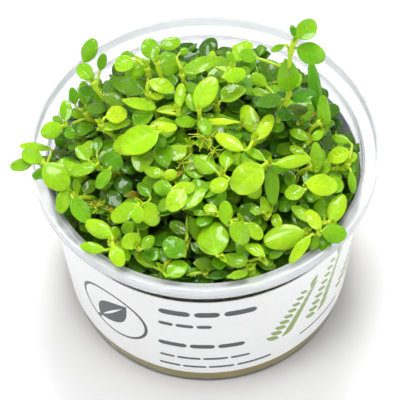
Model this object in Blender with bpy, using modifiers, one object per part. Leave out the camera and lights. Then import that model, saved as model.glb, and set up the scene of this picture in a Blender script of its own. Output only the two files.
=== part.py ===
"""A clear round culture cup of creeping hygrophila, with its label, gel and overflowing shoots.

Lengths in the tables below are millimetres and are turned to metres where meshes are made.
The origin is the middle of the cup's flat base and +Z is up. The cup is seen from -Y.
"""

import math
import random
from collections import namedtuple

import bmesh
import bpy
import numpy as np
from mathutils import Vector

MM = 0.001
SEED = 7
COLLECTION = "culture_cup_of_hygrophila"
CORNER_ANGLE = math.radians(40)

# The cup, a turned shell with a stepped collar.
CUP_HEIGHT = 62.0
WALL = 0.8
FLOOR = 1.0
LIP_RADIUS = 50.0
LIP_DEPTH = 3.0
MOUTH_RADIUS = 45.4
NECK_RADIUS = 46.2
BASE_RADIUS = 42.7
BASE_BEVEL = 0.8
TURN_STEPS = 48

# What is in and on the cup.
GAP = 0.35
GEL_TOP = 12.0
LABEL_BOTTOM = 7.2
LABEL_TOP = 50.2
LABEL_THICKNESS = 0.3
LABEL_SEAM_DEGREES = 4.0
UNDERGROWTH_DEPTH = 9.0
UNDERGROWTH_RINGS = (0.0, 9.0, 18.0, 26.0, 33.0, 39.0, 43.0)
UNDERGROWTH_STEPS = 30
SHOULDER_DROP = 3.5

# The mound of leaves, as heights over the lip.
MOUND_RADIUS = 44.0
MOUND_MIDDLE = 13.0
MOUND_FALL = 11.0
MOUND_BACK_RISE = 5.0

# The stems are square, with leaves in pairs, and the blades are thin.
STEM_HALF = 0.62
BLADE_THICKNESS = 0.75
PETIOLE_HALF = 0.42
STALK_THICKNESS = 0.7
SHORT_STALK = 2.4
STEEPEST_MITRE = 0.5
JOINT_HALF = 0.9
BUD_LENGTH = 1.9

# A blade's sections, as shares of its length with their thickness.
BLADE_SECTIONS = [(0.3, BLADE_THICKNESS), (0.7, BLADE_THICKNESS), (0.95, 0.3)]

# A root is how a leaf leaves its stem: how far a stub stands out first, how far its stalk bows
# sideways and up on its way, and whether the stalk ends in a section of its own.
Root = namedtuple("Root", "stub bow stalked", defaults=(0.0, None, True))
ROOTS = [
    Root(), Root(stalked=False), Root(stub=0.3, stalked=False), Root(stub=0.3), Root(stub=0.8),
    Root(bow=(0.0, 1.2)), Root(bow=(0.0, -1.2)), Root(bow=(1.2, 0.0)), Root(bow=(-1.2, 0.0))]

# The moves that a leaf may make to clear its own shoot: sideways, up and away from the joint.
LEAF_MOVES = [
    (0.0, 0.0, 0.0), (0.0, 0.4, 0.0), (0.0, -0.4, 0.0), (0.0, 0.8, 0.0), (0.0, -0.8, 0.0),
    (0.0, 0.0, 0.5), (0.0, 0.0, 1.0), (0.8, 0.0, 0.0), (-0.8, 0.0, 0.0), (0.8, 0.8, 0.0),
    (-0.8, 0.8, 0.0), (0.0, 1.4, 0.0), (0.0, -1.4, 0.0), (0.0, 1.0, 1.0), (0.0, -1.0, 1.0),
    (1.6, 0.0, 0.0), (-1.6, 0.0, 0.0), (0.0, 2.0, 0.0), (0.0, -2.0, 0.0)]

# The room that a stem or a blade takes, and what it keeps clear of.
STEM_RADIUS = 0.9
BLADE_RADIUS = 0.5
CLEARANCE = 0.25
FOOT_GAP = 1.0
GROUND_GAP = 1.5
WALL_GAP = 1.3
FOOT_MARGIN = 4.0

# Side shoots fill the barest places that the listed ones leave.
SIDE_SHOOTS = 9
SIDE_PLACES = 150
SIDE_RADIUS = 38.5
SIDE_REACH = 5.0
SIDE_PAIRS = 3

# At its back the crown ends short of the wall, and falls away to there.
BACK_RADIUS = 35.0
BACK_SLOPE = 1.12
PAIR_SPACING = 2.8
GOLDEN_TURN = math.radians(137.5)

# Where the photograph of the cup was taken from, for placing leaves by what it shows.
EYE = Vector((0.0, -278.0, 416.0))
AIM = Vector((-1.8, -19.6, CUP_HEIGHT))
ROLL = math.radians(-2.1)
FOCAL_PIXELS = 1564.0
PHOTO_MIDDLE = 200.0

# A leaf is the pixel where its blade begins, the pixel of its tip, and the blade's width in pixels.
# Its lean is how far it tips up from lying flat to facing the viewer, in degrees.
Leaf = namedtuple("Leaf", "u v tip_u tip_v width lean", defaults=(24,))

# A blade is a leaf in space: its stem's joint, its base and tip, its width, and the way its face looks.
Blade = namedtuple("Blade", "joint base tip width up")

# A shoot is the pixel of its top joint, its height over the mound, its leaves from the top down, and
# the joints under the top one, which without a list is one joint close below it.
Shoot = namedtuple("Shoot", "name u v rise leaves lower", defaults=((),))

SHOOTS = [
    Shoot("tall", 294, 42, 38, [
        Leaf(298, 38, 315, 21, 20, 45), Leaf(296, 37, 291, 25, 7, 50),
        Leaf(297, 48, 325, 59, 22, 40), Leaf(284, 45, 271, 51, 7, 50),
        Leaf(257, 58, 239, 53, 14, 40), Leaf(278, 64, 263, 60, 5, 40),
        Leaf(289, 91, 288, 68, 23, 50)],
        lower=[(291, 51, 34), (289, 70, 25), (289, 94, 14)]),
    Shoot("folded_pair", 320, 122, 6, [
        Leaf(318, 112, 312, 64, 13, 66), Leaf(325, 134, 323, 97, 14, 66)]),
    Shoot("back_left_sprig", 93, 82, 12, [
        Leaf(92, 78, 78, 65, 16, 40), Leaf(84, 62, 93, 40, 16, 50), Leaf(100, 70, 104, 54, 10, 50)]),
    Shoot("back_left_low", 86, 112, 3, [
        Leaf(86, 105, 83, 82, 13, 60), Leaf(75, 104, 72, 88, 10, 60), Leaf(66, 121, 66, 100, 13, 40),
        Leaf(92, 114, 70, 112, 12, 20)]),
    Shoot("left_upper", 64, 125, 6, [
        Leaf(62, 126, 40, 133, 18), Leaf(62, 123, 53, 116, 8), Leaf(64, 127, 74, 138, 12)]),
    Shoot("left_overhang", 42, 161, 7, [
        Leaf(45, 164, 66, 188, 26), Leaf(42, 160, 21, 152, 16), Leaf(32, 163, 10, 167, 13),
        Leaf(50, 149, 19, 144, 9)]),
    Shoot("left_rim", 72, 194, 3, [
        Leaf(67, 188, 60, 213, 15), Leaf(73, 198, 88, 222, 18), Leaf(77, 194, 76, 180, 9, 50)]),
    Shoot("left_bright", 96, 163, 4, [
        Leaf(96, 165, 72, 173, 13), Leaf(88, 160, 77, 146, 13), Leaf(97, 152, 98, 136, 10)]),
    Shoot("left_dark", 108, 168, 1, [Leaf(110, 169, 97, 188, 13), Leaf(104, 154, 121, 168, 20)]),
    Shoot("left_broad", 113, 214, -1, [Leaf(113, 213, 110, 179, 24, 30)]),
    Shoot("left_crown", 101, 124, 5, [
        Leaf(106, 117, 127, 112, 18), Leaf(100, 121, 98, 87, 11, 60), Leaf(98, 129, 132, 121, 10)]),
    Shoot("back_oval", 147, 68, 7, [
        Leaf(133, 60, 115, 68, 18, 30), Leaf(147, 62, 128, 79, 15, 30), Leaf(144, 92, 112, 80, 18),
        Leaf(134, 56, 121, 54, 8)]),
    Shoot("back_round", 157, 62, 9, [
        Leaf(153, 59, 148, 38, 19, 45), Leaf(160, 47, 180, 40, 14, 40), Leaf(157, 68, 180, 62, 22, 30)]),
    Shoot("back_long", 182, 74, 6, [Leaf(182, 73, 218, 57, 16, 35), Leaf(179, 54, 189, 49, 10, 40)]),
    Shoot("back_gloss", 148, 93, 6, [
        Leaf(149, 82, 174, 89, 16), Leaf(150, 96, 164, 95, 9), Leaf(124, 101, 156, 107, 12)]),
    Shoot("back_upright", 178, 109, 4, [
        Leaf(179, 107, 181, 83, 12, 40), Leaf(181, 92, 198, 84, 11, 30), Leaf(158, 110, 177, 108, 8)]),
    Shoot("great_round", 156, 131, 8, [
        Leaf(158, 133, 121, 148, 30), Leaf(149, 127, 177, 126, 13), Leaf(155, 135, 165, 145, 12)]),
    Shoot("back_middle", 199, 109, 5, [Leaf(197, 108, 214, 76, 23, 35)]),
    Shoot("back_right_small", 232, 68, 5, [
        Leaf(224, 78, 246, 72, 16, 30), Leaf(234, 64, 228, 52, 8, 50), Leaf(240, 73, 250, 69, 10, 40),
        Leaf(213, 62, 212, 51, 8, 50)]),
    Shoot("right_long", 284, 112, 2, [Leaf(283, 112, 254, 88, 15), Leaf(266, 86, 252, 74, 13, 40)]),
    Shoot("middle_long", 255, 138, 5, [
        Leaf(259, 139, 271, 113, 15), Leaf(243, 150, 216, 132, 16), Leaf(256, 133, 243, 104, 19)]),
    Shoot("middle_arch", 241, 124, 1, [Leaf(240, 122, 199, 121, 10), Leaf(240, 128, 222, 118, 10)]),
    Shoot("middle_kidney", 222, 174, 3, [
        Leaf(226, 168, 226, 148, 15), Leaf(228, 181, 210, 188, 17), Leaf(216, 171, 194, 157, 20)]),
    Shoot("great_gloss", 269, 163, 6, [
        Leaf(262, 166, 234, 190, 32), Leaf(276, 164, 311, 157, 14), Leaf(266, 161, 243, 145, 11),
        Leaf(271, 166, 273, 204, 15)]),
    Shoot("right_round", 306, 186, 4, [
        Leaf(306, 183, 338, 187, 22), Leaf(304, 190, 285, 195, 16), Leaf(291, 188, 289, 170, 12)]),
    Shoot("right_upright", 312, 168, 3, [
        Leaf(317, 172, 316, 142, 13, 35), Leaf(304, 153, 290, 146, 11)]),
    Shoot("right_edge", 348, 163, 4, [
        Leaf(349, 152, 328, 159, 17), Leaf(349, 142, 332, 136, 10), Leaf(347, 160, 357, 153, 10),
        Leaf(351, 172, 354, 193, 9)]),
    Shoot("right_rim", 330, 223, 5, [Leaf(331, 222, 343, 193, 18), Leaf(315, 223, 292, 205, 12)]),
    Shoot("right_rosette", 320, 232, 7, [
        Leaf(322, 231, 347, 235, 20), Leaf(320, 230, 307, 209, 14), Leaf(310, 236, 290, 262, 12),
        Leaf(318, 236, 312, 250, 10)]),
    Shoot("front_right_broad", 306, 231, 4, [
        Leaf(304, 232, 264, 241, 26), Leaf(279, 229, 274, 213, 11), Leaf(283, 250, 269, 257, 10)]),
    Shoot("front_pointed", 222, 257, 4, [Leaf(216, 255, 209, 221, 33)]),
    Shoot("front_ovals", 262, 258, 2, [Leaf(264, 255, 246, 244, 13), Leaf(246, 259, 238, 239, 13)]),
    Shoot("middle_pair", 240, 220, 3, [
        Leaf(232, 223, 248, 243, 20), Leaf(226, 224, 225, 201, 15, 35), Leaf(246, 224, 262, 238, 15),
        Leaf(250, 221, 244, 203, 20)]),
    Shoot("middle_small", 268, 214, 3, [
        Leaf(268, 217, 263, 196, 10), Leaf(262, 212, 250, 209, 10), Leaf(272, 206, 273, 190, 12)]),
    Shoot("middle_rosette", 178, 190, 5, [
        Leaf(184, 190, 169, 209, 21), Leaf(172, 190, 196, 187, 14), Leaf(172, 188, 153, 187, 16),
        Leaf(186, 208, 204, 187, 14)]),
    Shoot("middle_left", 163, 176, 2, [
        Leaf(164, 175, 144, 169, 12), Leaf(163, 177, 177, 173, 12), Leaf(163, 172, 159, 160, 8)]),
    Shoot("front_left_great", 140, 204, 5, [
        Leaf(138, 206, 138, 223, 14), Leaf(136, 205, 111, 219, 20), Leaf(142, 203, 158, 224, 21),
        Leaf(150, 196, 139, 182, 13)]),
    Shoot("front_left_rounds", 137, 246, 3, [
        Leaf(122, 246, 140, 236, 17), Leaf(142, 249, 153, 235, 13), Leaf(134, 223, 122, 232, 13)]),
    Shoot("front_gloss", 185, 245, 1, [
        Leaf(183, 256, 165, 239, 23), Leaf(186, 233, 170, 222, 13), Leaf(190, 217, 202, 240, 15)]),
    Shoot("front_left_rosette", 111, 243, 6, [
        Leaf(112, 236, 85, 221, 18), Leaf(113, 246, 121, 266, 16), Leaf(104, 250, 80, 245, 12),
        Leaf(113, 240, 116, 226, 10)]),
    Shoot("front_rim_left", 162, 268, 2, [
        Leaf(168, 276, 186, 261, 19), Leaf(156, 268, 133, 250, 14), Leaf(166, 278, 146, 277, 8)]),
    Shoot("front_rim", 205, 272, -1, [
        Leaf(195, 262, 217, 266, 13), Leaf(187, 274, 200, 270, 9), Leaf(208, 277, 227, 273, 9)]),
    Shoot("front_rim_right", 250, 267, 1, [
        Leaf(229, 277, 248, 272, 9), Leaf(258, 263, 276, 266, 11), Leaf(251, 276, 254, 265, 7)]),
    Shoot("middle_ring", 214, 213, 2, [Leaf(217, 212, 204, 206, 12), Leaf(205, 214, 193, 211, 7)]),
    Shoot("right_tuft", 309, 140, 3, [
        Leaf(309, 139, 290, 130, 11), Leaf(312, 140, 323, 130, 10), Leaf(306, 142, 302, 155, 10)]),
    Shoot("back_right_tuft", 299, 124, 2, [Leaf(301, 123, 312, 104, 12), Leaf(298, 121, 294, 102, 9)]),
]


def sight(u, v):
    """The direction of the line of sight through a pixel of the photograph."""
    forward = (AIM - EYE).normalized()
    level = forward.cross(Vector((0, 0, 1))).normalized()
    rise = level.cross(forward)
    right = math.cos(ROLL) * level + math.sin(ROLL) * rise
    up = math.cos(ROLL) * rise - math.sin(ROLL) * level
    return forward + right * (u - PHOTO_MIDDLE) / FOCAL_PIXELS - up * (v - PHOTO_MIDDLE) / FOCAL_PIXELS


def seen_at(u, v, height):
    """The point at this height over the lip that the photograph shows at a pixel."""
    line = sight(u, v)
    return EYE + line * ((CUP_HEIGHT + height - EYE.z) / line.z)


def mound(x, y):
    """How high the crown of the mound stands over the lip."""
    out = min(math.hypot(x, y) / MOUND_RADIUS, 1.1)
    return MOUND_MIDDLE - MOUND_FALL * out**2 + MOUND_BACK_RISE * y / MOUND_RADIUS


def back_fall(x, y):
    """The height over the lip that side shoots keep under, so that the crown falls away at its back."""
    edge = math.sqrt(max(BACK_RADIUS**2 - x * x, 0.0))
    return BACK_SLOPE * (edge - y - SIDE_REACH)


def ground(x, y):
    """The height of the undergrowth's lumpy top, from the cup's base."""
    lumps = 1.1 * math.sin(0.31 * x + 0.9) * math.cos(0.27 * y - 0.4) + 0.7 * math.sin(0.23 * (x - y))
    return CUP_HEIGHT + mound(x, y) - UNDERGROWTH_DEPTH + lumps


def seen_on_mound(u, v, rise):
    """The point seen at a pixel, this far over the mound's crown."""
    point = seen_at(u, v, rise)
    for _ in range(4):
        point = seen_at(u, v, mound(point.x, point.y) + rise)
    return point


def inside_wall(z):
    """The radius of the cup's inner wall at a height."""
    share = (z - FLOOR) / (CUP_HEIGHT - LIP_DEPTH - FLOOR)
    return (BASE_RADIUS - WALL) + (MOUTH_RADIUS - BASE_RADIUS + WALL) * share


def meets_cup(x, y, z):
    """Whether a ball here would touch the cup's wall, its ledge or its lip."""
    out = math.hypot(x, y)
    if z > CUP_HEIGHT + WALL_GAP or out > LIP_RADIUS + WALL_GAP:
        return False
    over_ledge = z > CUP_HEIGHT - LIP_DEPTH + WALL_GAP
    return out > (LIP_RADIUS - WALL if over_ledge else MOUTH_RADIUS) - WALL_GAP


class Thicket:
    """The room that stems and blades have taken, as balls that must not meet."""

    def __init__(self):
        self.centres = np.zeros((0, 3))
        self.radii = np.zeros(0)

    def is_clear(self, balls, radius):
        """Whether balls of this radius meet neither what grows here nor the cup and the ground."""
        if any(meets_cup(x, y, z) or z < ground(x, y) + GROUND_GAP for x, y, z in balls):
            return False
        if not len(self.radii):
            return True
        apart = np.linalg.norm(balls[:, None, :] - self.centres[None], axis=2)
        return bool((apart > radius + self.radii + CLEARANCE).all())

    def take(self, balls, radius):
        self.centres = np.vstack([self.centres, balls])
        self.radii = np.append(self.radii, np.full(len(balls), radius))

    def forget(self, mark):
        """Gives back the room taken since this many balls."""
        self.centres = self.centres[:mark]
        self.radii = self.radii[:mark]


def stem_path(foot, joints):
    """Points up a stem that leaves the ground upright and bends to its joints, the lowest first."""
    low = joints[0]
    knee = Vector((foot.x, foot.y, foot.z + 0.55 * (low.z - foot.z)))
    rise = [0.0, 0.35, 0.7]
    bend = [foot * (1 - t) ** 2 + knee * 2 * t * (1 - t) + low * t**2 for t in rise]
    return bend + list(joints)


def balls_along(path, spacing):
    """Points at an even spacing along a path, without its ends' neighbourhood doubled."""
    points = []
    for start, end in zip(path, path[1:]):
        count = max(1, math.ceil((end - start).length / spacing))
        points += [start.lerp(end, i / count) for i in range(count)]
    return np.array([*points, path[-1]])


def find_stem(joints, thicket):
    """The path of a stem from the ground to its joints that has room, which it then takes."""
    low = joints[0]
    for attempt in range(90):
        turn = attempt * GOLDEN_TURN
        stray = 0.85 * math.sqrt(attempt)
        x = 0.86 * low.x + stray * math.cos(turn)
        y = 0.86 * low.y + stray * math.sin(turn)
        if math.hypot(x, y) > MOUTH_RADIUS - FOOT_MARGIN:
            continue
        foot = Vector((x, y, ground(x, y) + FOOT_GAP))
        if foot.z > low.z - 2.0:
            continue
        path = stem_path(foot, joints)
        balls = balls_along(path, 0.8)
        above_ground = balls[balls[:, 2] > foot.z + 1.2]
        if thicket.is_clear(above_ground, STEM_RADIUS):
            thicket.take(balls, STEM_RADIUS)
            return path
    return None


def blade_frame(blade):
    """The blade's length and its directions along, across and up."""
    along = blade.tip - blade.base
    length = along.length
    along.normalize()
    across = along.cross(blade.up).normalized()
    return length, along, across, across.cross(along)


def blade_point(blade, share, sideways):
    """A point of the blade's middle sheet: share of its length, and -1 to 1 from edge to edge."""
    length, along, across, up = blade_frame(blade)
    half = half_width(share) * blade.width / 2
    lift = 0.14 * half * sideways**2 - 0.10 * length * share**2
    return blade.base + along * (length * share) + across * (half * sideways) + up * lift


def half_width(share):
    """The blade's outline, as a share of its widest."""
    return 0.12 + 0.88 * math.sin(math.pi * min(share, 1.0) ** 0.85) ** 0.7 if share < 1 else 0.0


def blade_balls(blade):
    """Balls over the blade and along its stalk, but not where it joins its own stem."""
    length = (blade.tip - blade.base).length
    rows = max(3, math.ceil(length / 1.1))
    points = []
    for row in range(1, rows + 1):
        share = row / rows
        columns = max(1, math.ceil(half_width(share) * blade.width / 1.1))
        points += [blade_point(blade, share, 2 * c / columns - 1) for c in range(columns + 1)]
    balls = np.array(points + list(balls_along([blade.joint, blade.base], 0.8).tolist()))
    return balls[np.linalg.norm(balls - np.array(blade.joint), axis=1) > 2.6]


def pushed_blades(leaf, joint, rng):
    """A leaf of the photograph, then the same leaf ever further down its line of sight, then smaller."""
    lean = math.radians(leaf.lean + rng.uniform(-8, 8))
    swing = rng.uniform(-0.25, 0.25)
    face = Vector((math.sin(swing) * math.sin(lean), -math.cos(swing) * math.sin(lean), math.cos(lean)))
    for size in (1.0, 0.88, 0.76, 0.64):
        for push in range(18):
            middle_u, middle_v = (leaf.u + leaf.tip_u) / 2, (leaf.v + leaf.tip_v) / 2
            height = joint.z - CUP_HEIGHT + 1.6 - 0.55 * push
            middle = seen_at(middle_u, middle_v, height)
            ends = []
            for u, v in ((leaf.u, leaf.v), (leaf.tip_u, leaf.tip_v)):
                u, v = middle_u + size * (u - middle_u), middle_v + size * (v - middle_v)
                line = sight(u, v)
                ends.append(EYE + line * (face.dot(middle - EYE) / face.dot(line)))
            scale = (middle - EYE).length / FOCAL_PIXELS
            yield Blade(joint, ends[0], ends[1], size * leaf.width * scale, face)


def turned_blades(joint, heading, length, rng):
    """A side leaf at a joint, then the same leaf turned further round, then smaller."""
    droop = rng.uniform(-0.1, 0.45)
    for size in (1.0, 0.8, 0.65):
        for turn in (0, 25, -25, 50, -50, 80, -80):
            angle = heading + math.radians(turn)
            out = Vector((math.cos(angle), math.sin(angle), droop)).normalized()
            base = joint + out * 1.6
            face = Vector((-0.3 * math.cos(angle), -0.3 * math.sin(angle), 1)).normalized()
            yield Blade(joint, base, base + out * length * size, 0.85 * length * size, face)


def first_clear(blades, thicket):
    """The first of these blades that has room, which it then takes."""
    for blade in blades:
        balls = blade_balls(blade)
        if thicket.is_clear(balls, BLADE_RADIUS):
            thicket.take(balls, BLADE_RADIUS)
            return blade
    return None


def material(name, colour, roughness=0.5, transmission=0.0):
    found = bpy.data.materials.get(name)
    if found:
        return found
    made = bpy.data.materials.new(name)
    made.use_nodes = True
    shader = made.node_tree.nodes["Principled BSDF"]
    shader.inputs["Base Color"].default_value = (*colour, 1.0)
    shader.inputs["Roughness"].default_value = roughness
    shader.inputs["Metallic"].default_value = 0.0
    shader.inputs["Transmission Weight"].default_value = transmission
    return made


def add_object(name, mesh, made_of):
    """A named piece in the object's collection, shaded smooth but for its corners."""
    mesh.shade_smooth()
    mesh.set_sharp_from_angle(angle=CORNER_ANGLE)
    mesh.materials.clear()
    mesh.materials.append(made_of)
    piece = bpy.data.objects.new(name, mesh)
    bpy.data.collections[COLLECTION].objects.link(piece)
    return piece


def add_turned(name, profile, made_of, turn=2 * math.pi, steps=TURN_STEPS):
    """A piece turned about Z from (radius, height) points that run down its outer side first."""
    outline = bpy.data.meshes.new(name + " outline")
    corners = [(radius * MM, 0.0, height * MM) for radius, height in profile]
    outline.from_pydata(corners, [(i, i + 1) for i in range(len(corners) - 1)], [])
    lathe = bpy.data.objects.new(name + " lathe", outline)
    bpy.context.scene.collection.objects.link(lathe)
    screw = lathe.modifiers.new("Turn", "SCREW")
    screw.axis = "Z"
    screw.angle = turn
    screw.steps = steps
    screw.render_steps = steps
    screw.use_merge_vertices = True
    screw.merge_threshold = 0.00001
    bpy.context.view_layer.update()
    mesh = bpy.data.meshes.new_from_object(lathe.evaluated_get(bpy.context.evaluated_depsgraph_get()))
    mesh.name = name
    bpy.data.objects.remove(lathe)
    return add_object(name, mesh, made_of)


def add_cup():
    ledge = CUP_HEIGHT - LIP_DEPTH
    under = ledge - 1.2
    edge = 0.3
    outside = [
        (LIP_RADIUS - edge, CUP_HEIGHT),
        (LIP_RADIUS, CUP_HEIGHT - edge),
        (LIP_RADIUS, under + edge),
        (LIP_RADIUS - edge, under),
        (NECK_RADIUS + 0.5, under),
        (NECK_RADIUS, under - 0.5),
        (BASE_RADIUS, BASE_BEVEL),
        (BASE_RADIUS - BASE_BEVEL, 0.0),
        (0.0, 0.0),
    ]
    inside = [
        (0.0, FLOOR),
        (inside_wall(FLOOR) - BASE_BEVEL, FLOOR),
        (inside_wall(FLOOR + BASE_BEVEL), FLOOR + BASE_BEVEL),
        (MOUTH_RADIUS, ledge - edge),
        (MOUTH_RADIUS + edge, ledge),
        (LIP_RADIUS - WALL, ledge),
        (LIP_RADIUS - WALL, CUP_HEIGHT - edge),
        (LIP_RADIUS - WALL + edge, CUP_HEIGHT),
        (LIP_RADIUS - edge, CUP_HEIGHT),
    ]
    clear = material("clear plastic", (0.93, 0.96, 0.97), 0.05, 0.95)
    add_turned("cup", outside + inside, clear)


def outside_wall(z):
    """The radius of the cup's outer wall at a height."""
    share = (z - BASE_BEVEL) / (CUP_HEIGHT - LIP_DEPTH - 1.7 - BASE_BEVEL)
    return BASE_RADIUS + (NECK_RADIUS - BASE_RADIUS) * share


def add_label():
    """A thin sleeve round the wall, with a narrow bare seam at the back."""
    sheet = [(outside_wall(z) + GAP, z) for z in (LABEL_TOP, LABEL_BOTTOM)]
    paper = material("label paper", (0.88, 0.88, 0.87), 0.45)
    label = add_turned("label", sheet, paper, math.radians(360 - LABEL_SEAM_DEGREES))
    label.rotation_euler.z = math.radians(90 + LABEL_SEAM_DEGREES / 2)
    solid = label.modifiers.new("Thickness", "SOLIDIFY")
    solid.thickness = LABEL_THICKNESS * MM
    solid.offset = 1.0


def add_gel():
    bottom = FLOOR + GAP
    low = inside_wall(FLOOR) - BASE_BEVEL - GAP
    profile = [
        (0.0, GEL_TOP),
        (inside_wall(GEL_TOP) - GAP, GEL_TOP),
        (inside_wall(FLOOR + BASE_BEVEL) - GAP, FLOOR + BASE_BEVEL + 0.2),
        (low, bottom),
        (0.0, bottom),
    ]
    add_turned("nutrient_gel", profile, material("nutrient gel", (0.2, 0.17, 0.07), 0.25, 0.3))


def add_undergrowth():
    """The packed stems and small leaves under the crown: a turned body with a lumpy top."""
    bottom = GEL_TOP + GAP
    side = inside_wall(CUP_HEIGHT - LIP_DEPTH - UNDERGROWTH_DEPTH) - 2 * GAP
    profile = [(radius, CUP_HEIGHT) for radius in (*UNDERGROWTH_RINGS, side)]
    profile += [(inside_wall(bottom) - 2 * GAP, bottom), (0.0, bottom)]
    leafy = material("undergrowth green", (0.05, 0.13, 0.02), 0.7)
    undergrowth = add_turned("undergrowth", profile, leafy, steps=UNDERGROWTH_STEPS)
    for vertex in undergrowth.data.vertices:
        x, y, z = vertex.co / MM
        if z < CUP_HEIGHT / 2:
            continue
        drop = SHOULDER_DROP if math.hypot(x, y) > UNDERGROWTH_RINGS[-1] + GAP else 0.0
        vertex.co.z = (ground(x, y) - drop) * MM


def square_ring(centre, along, facing):
    """The four corners of a square stem, set so that one side faces the way given."""
    across = along.cross(facing).normalized()
    ahead = across.cross(along).normalized()
    turns = [math.radians(45 + 90 * i) for i in range(4)]
    reach = STEM_HALF * math.sqrt(2)
    return [centre + reach * (math.cos(t) * ahead + math.sin(t) * across) for t in turns]


def extrude_to(bm, face, corners):
    """Extrudes a face and puts its corners at these places, in the order of the face's corners."""
    made = bmesh.ops.extrude_discrete_faces(bm, faces=[face])["faces"][0]
    for vertex, place in zip(made.verts, corners):
        vertex.co = place * MM
    return made


def diamond(centre, across, up, half, rise):
    """The four corners of a flat section, from its right edge over its top."""
    return [centre + across * half, centre + up * rise, centre - across * half, centre - up * rise]


def mitred(section, base, heading, along):
    """The section where the stalk bends into the blade, set halfway between their directions."""
    between = (heading + along).normalized()
    lean = max(along.dot(between), STEEPEST_MITRE)
    return [corner - along * ((corner - base).dot(between) / lean) for corner in section]


def blade_sections(blade, root, foot, outer):
    """A leaf's sections, from the side of the stem that it leaves to just under its tip."""
    length, along, across, up = blade_frame(blade)
    heading = (blade.base - blade.joint).normalized()
    sections = []
    if root.stub:
        wide = (across - outer * across.dot(outer)).normalized()
        stub = foot + outer * root.stub
        sections.append(diamond(stub, wide, wide.cross(outer), PETIOLE_HALF, PETIOLE_HALF))
    if root.bow:
        sideways, upward = root.bow
        middle = foot.lerp(blade.base, 0.5) + across * sideways + up * upward
        sections.append(diamond(middle, across, up, PETIOLE_HALF, PETIOLE_HALF))
    if root.stalked:
        section = diamond(blade.base, across, up, PETIOLE_HALF, STALK_THICKNESS / 2)
        sections.append(mitred(section, blade.base, heading, along))
    for share, thickness in BLADE_SECTIONS:
        section = diamond(blade_point(blade, share, 0.0), across, up, 0.0, thickness / 2)
        section[0] = blade_point(blade, share, 1.0)
        section[2] = blade_point(blade, share, -1.0)
        sections.append(section)
    return sections


def add_blade(bm, face, blade, root):
    """A flat leaf drawn out of a side of the stem, through its stalk to its tip."""
    across = blade_frame(blade)[2]
    face.normal_update()
    foot, outer = face.calc_center_median(), face.normal.copy()
    level = (across - outer * across.dot(outer)).normalized()
    offset = face.verts[0].co - foot
    turn = math.atan2(offset.dot(level.cross(outer)), offset.dot(level))
    corners = [(int(math.degrees(turn) // 90) - i) % 4 for i in range(4)]
    for section in blade_sections(blade, root, foot / MM, outer):
        face = extrude_to(bm, face, [section[corner] for corner in corners])
    tip = blade_point(blade, 1.0, 0.0) * MM
    bmesh.ops.pointmerge(bm, verts=face.verts[:], merge_co=tip)


def crossings(bm):
    """How often a body's edges pass through its own faces."""
    bm.verts.index_update()
    places = np.array([vertex.co for vertex in bm.verts]) / MM
    faces = np.array([[loop.vert.index for loop in triangle] for triangle in bm.calc_loop_triangles()])
    edges = np.unique(np.sort(faces[:, [[0, 1], [1, 2], [2, 0]]].reshape(-1, 2), axis=1), axis=0)
    corners = places[faces].transpose(1, 0, 2)
    normals = np.cross(corners[1] - corners[0], corners[2] - corners[0])
    start, end = places[edges].transpose(1, 0, 2)
    over = np.einsum("efk,fk->ef", start[:, None] - corners[0], normals)
    under = np.einsum("efk,fk->ef", end[:, None] - corners[0], normals)
    apart = ~(edges[:, None, :, None] == faces[None, :, None, :]).any((2, 3))
    edge, face = np.nonzero((over * under < 0) & apart)
    share = over[edge, face] / (over[edge, face] - under[edge, face])
    spots = start[edge] + (end - start)[edge] * share[:, None]
    inside = np.ones(len(edge), bool)
    for first, second in ((0, 1), (1, 2), (2, 0)):
        side = corners[second][face] - corners[first][face]
        inside &= np.einsum("ek,ek->e", np.cross(side, spots - corners[first][face]), normals[face]) > 0
    return int(inside.sum())


def leaf_choices(blade):
    """A leaf with every root it can have, first as it is and then moved a little."""
    _, _, across, up = blade_frame(blade)
    out = (blade.base - blade.joint).normalized()
    short = (blade.base - blade.joint).length < SHORT_STALK
    roots = sorted(ROOTS, key=lambda root: root.stalked) if short else ROOTS
    for sideways, upward, outward in LEAF_MOVES:
        move = across * sideways + up * upward + out * outward
        for root in roots:
            yield blade._replace(base=blade.base + move, tip=blade.tip + move), root


def add_clear_blade(bm, free, blade):
    """Draws a leaf out of one of the free sides of its joint, so that it meets its shoot the least."""
    heading = (blade.base - blade.joint).normalized()
    free.sort(key=lambda face: -heading.dot(outward(face, blade.joint)))
    bm.faces.index_update()
    before = crossings(bm)
    tried = []
    for moved, root in leaf_choices(blade):
        for number, side in enumerate(free):
            trial = bm.copy()
            trial.faces.ensure_lookup_table()
            add_blade(trial, trial.faces[side.index], moved, root)
            tried.append((crossings(trial) - before, number, moved, root))
            trial.free()
            if tried[-1][0] <= 0:
                break
        if tried[-1][0] <= 0:
            break
    _, number, moved, root = min(tried, key=lambda choice: choice[0])
    add_blade(bm, free.pop(number), moved, root)


def stem_rings(path, blades):
    """The stem's square outlines from the foot up, each with the blades that leave the side under it."""
    facing = Vector((1, 0, 0))
    rings = [(square_ring(path[0], Vector((0, 0, 1)), facing), [])]
    for below, point, above in zip(path, path[1:], [*path[2:], None]):
        along = (point - below).normalized()
        if above:
            along = (along + (above - point).normalized()).normalized()
        mine = [blade for blade in blades if blade.joint is point]
        if mine:
            facing = nearest_quarter_turn(mine[0].base - point, along, facing)
            room = min((point - other).length for other in path if other is not point)
            half = min(JOINT_HALF, 0.4 * room)
            rings.append((square_ring(point - along * half, along, facing), []))
            rings.append((square_ring(point + along * half, along, facing), mine))
        else:
            rings.append((square_ring(point, along, facing), []))
    return rings


def set_corners(corners, ring):
    """Puts the four corners of a cube's end on a ring, each in its own quarter."""
    for vertex in corners:
        quarter = int(math.degrees(math.atan2(vertex.co.y, vertex.co.x)) // 90) % 4
        vertex.co = ring[quarter] * MM


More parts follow.
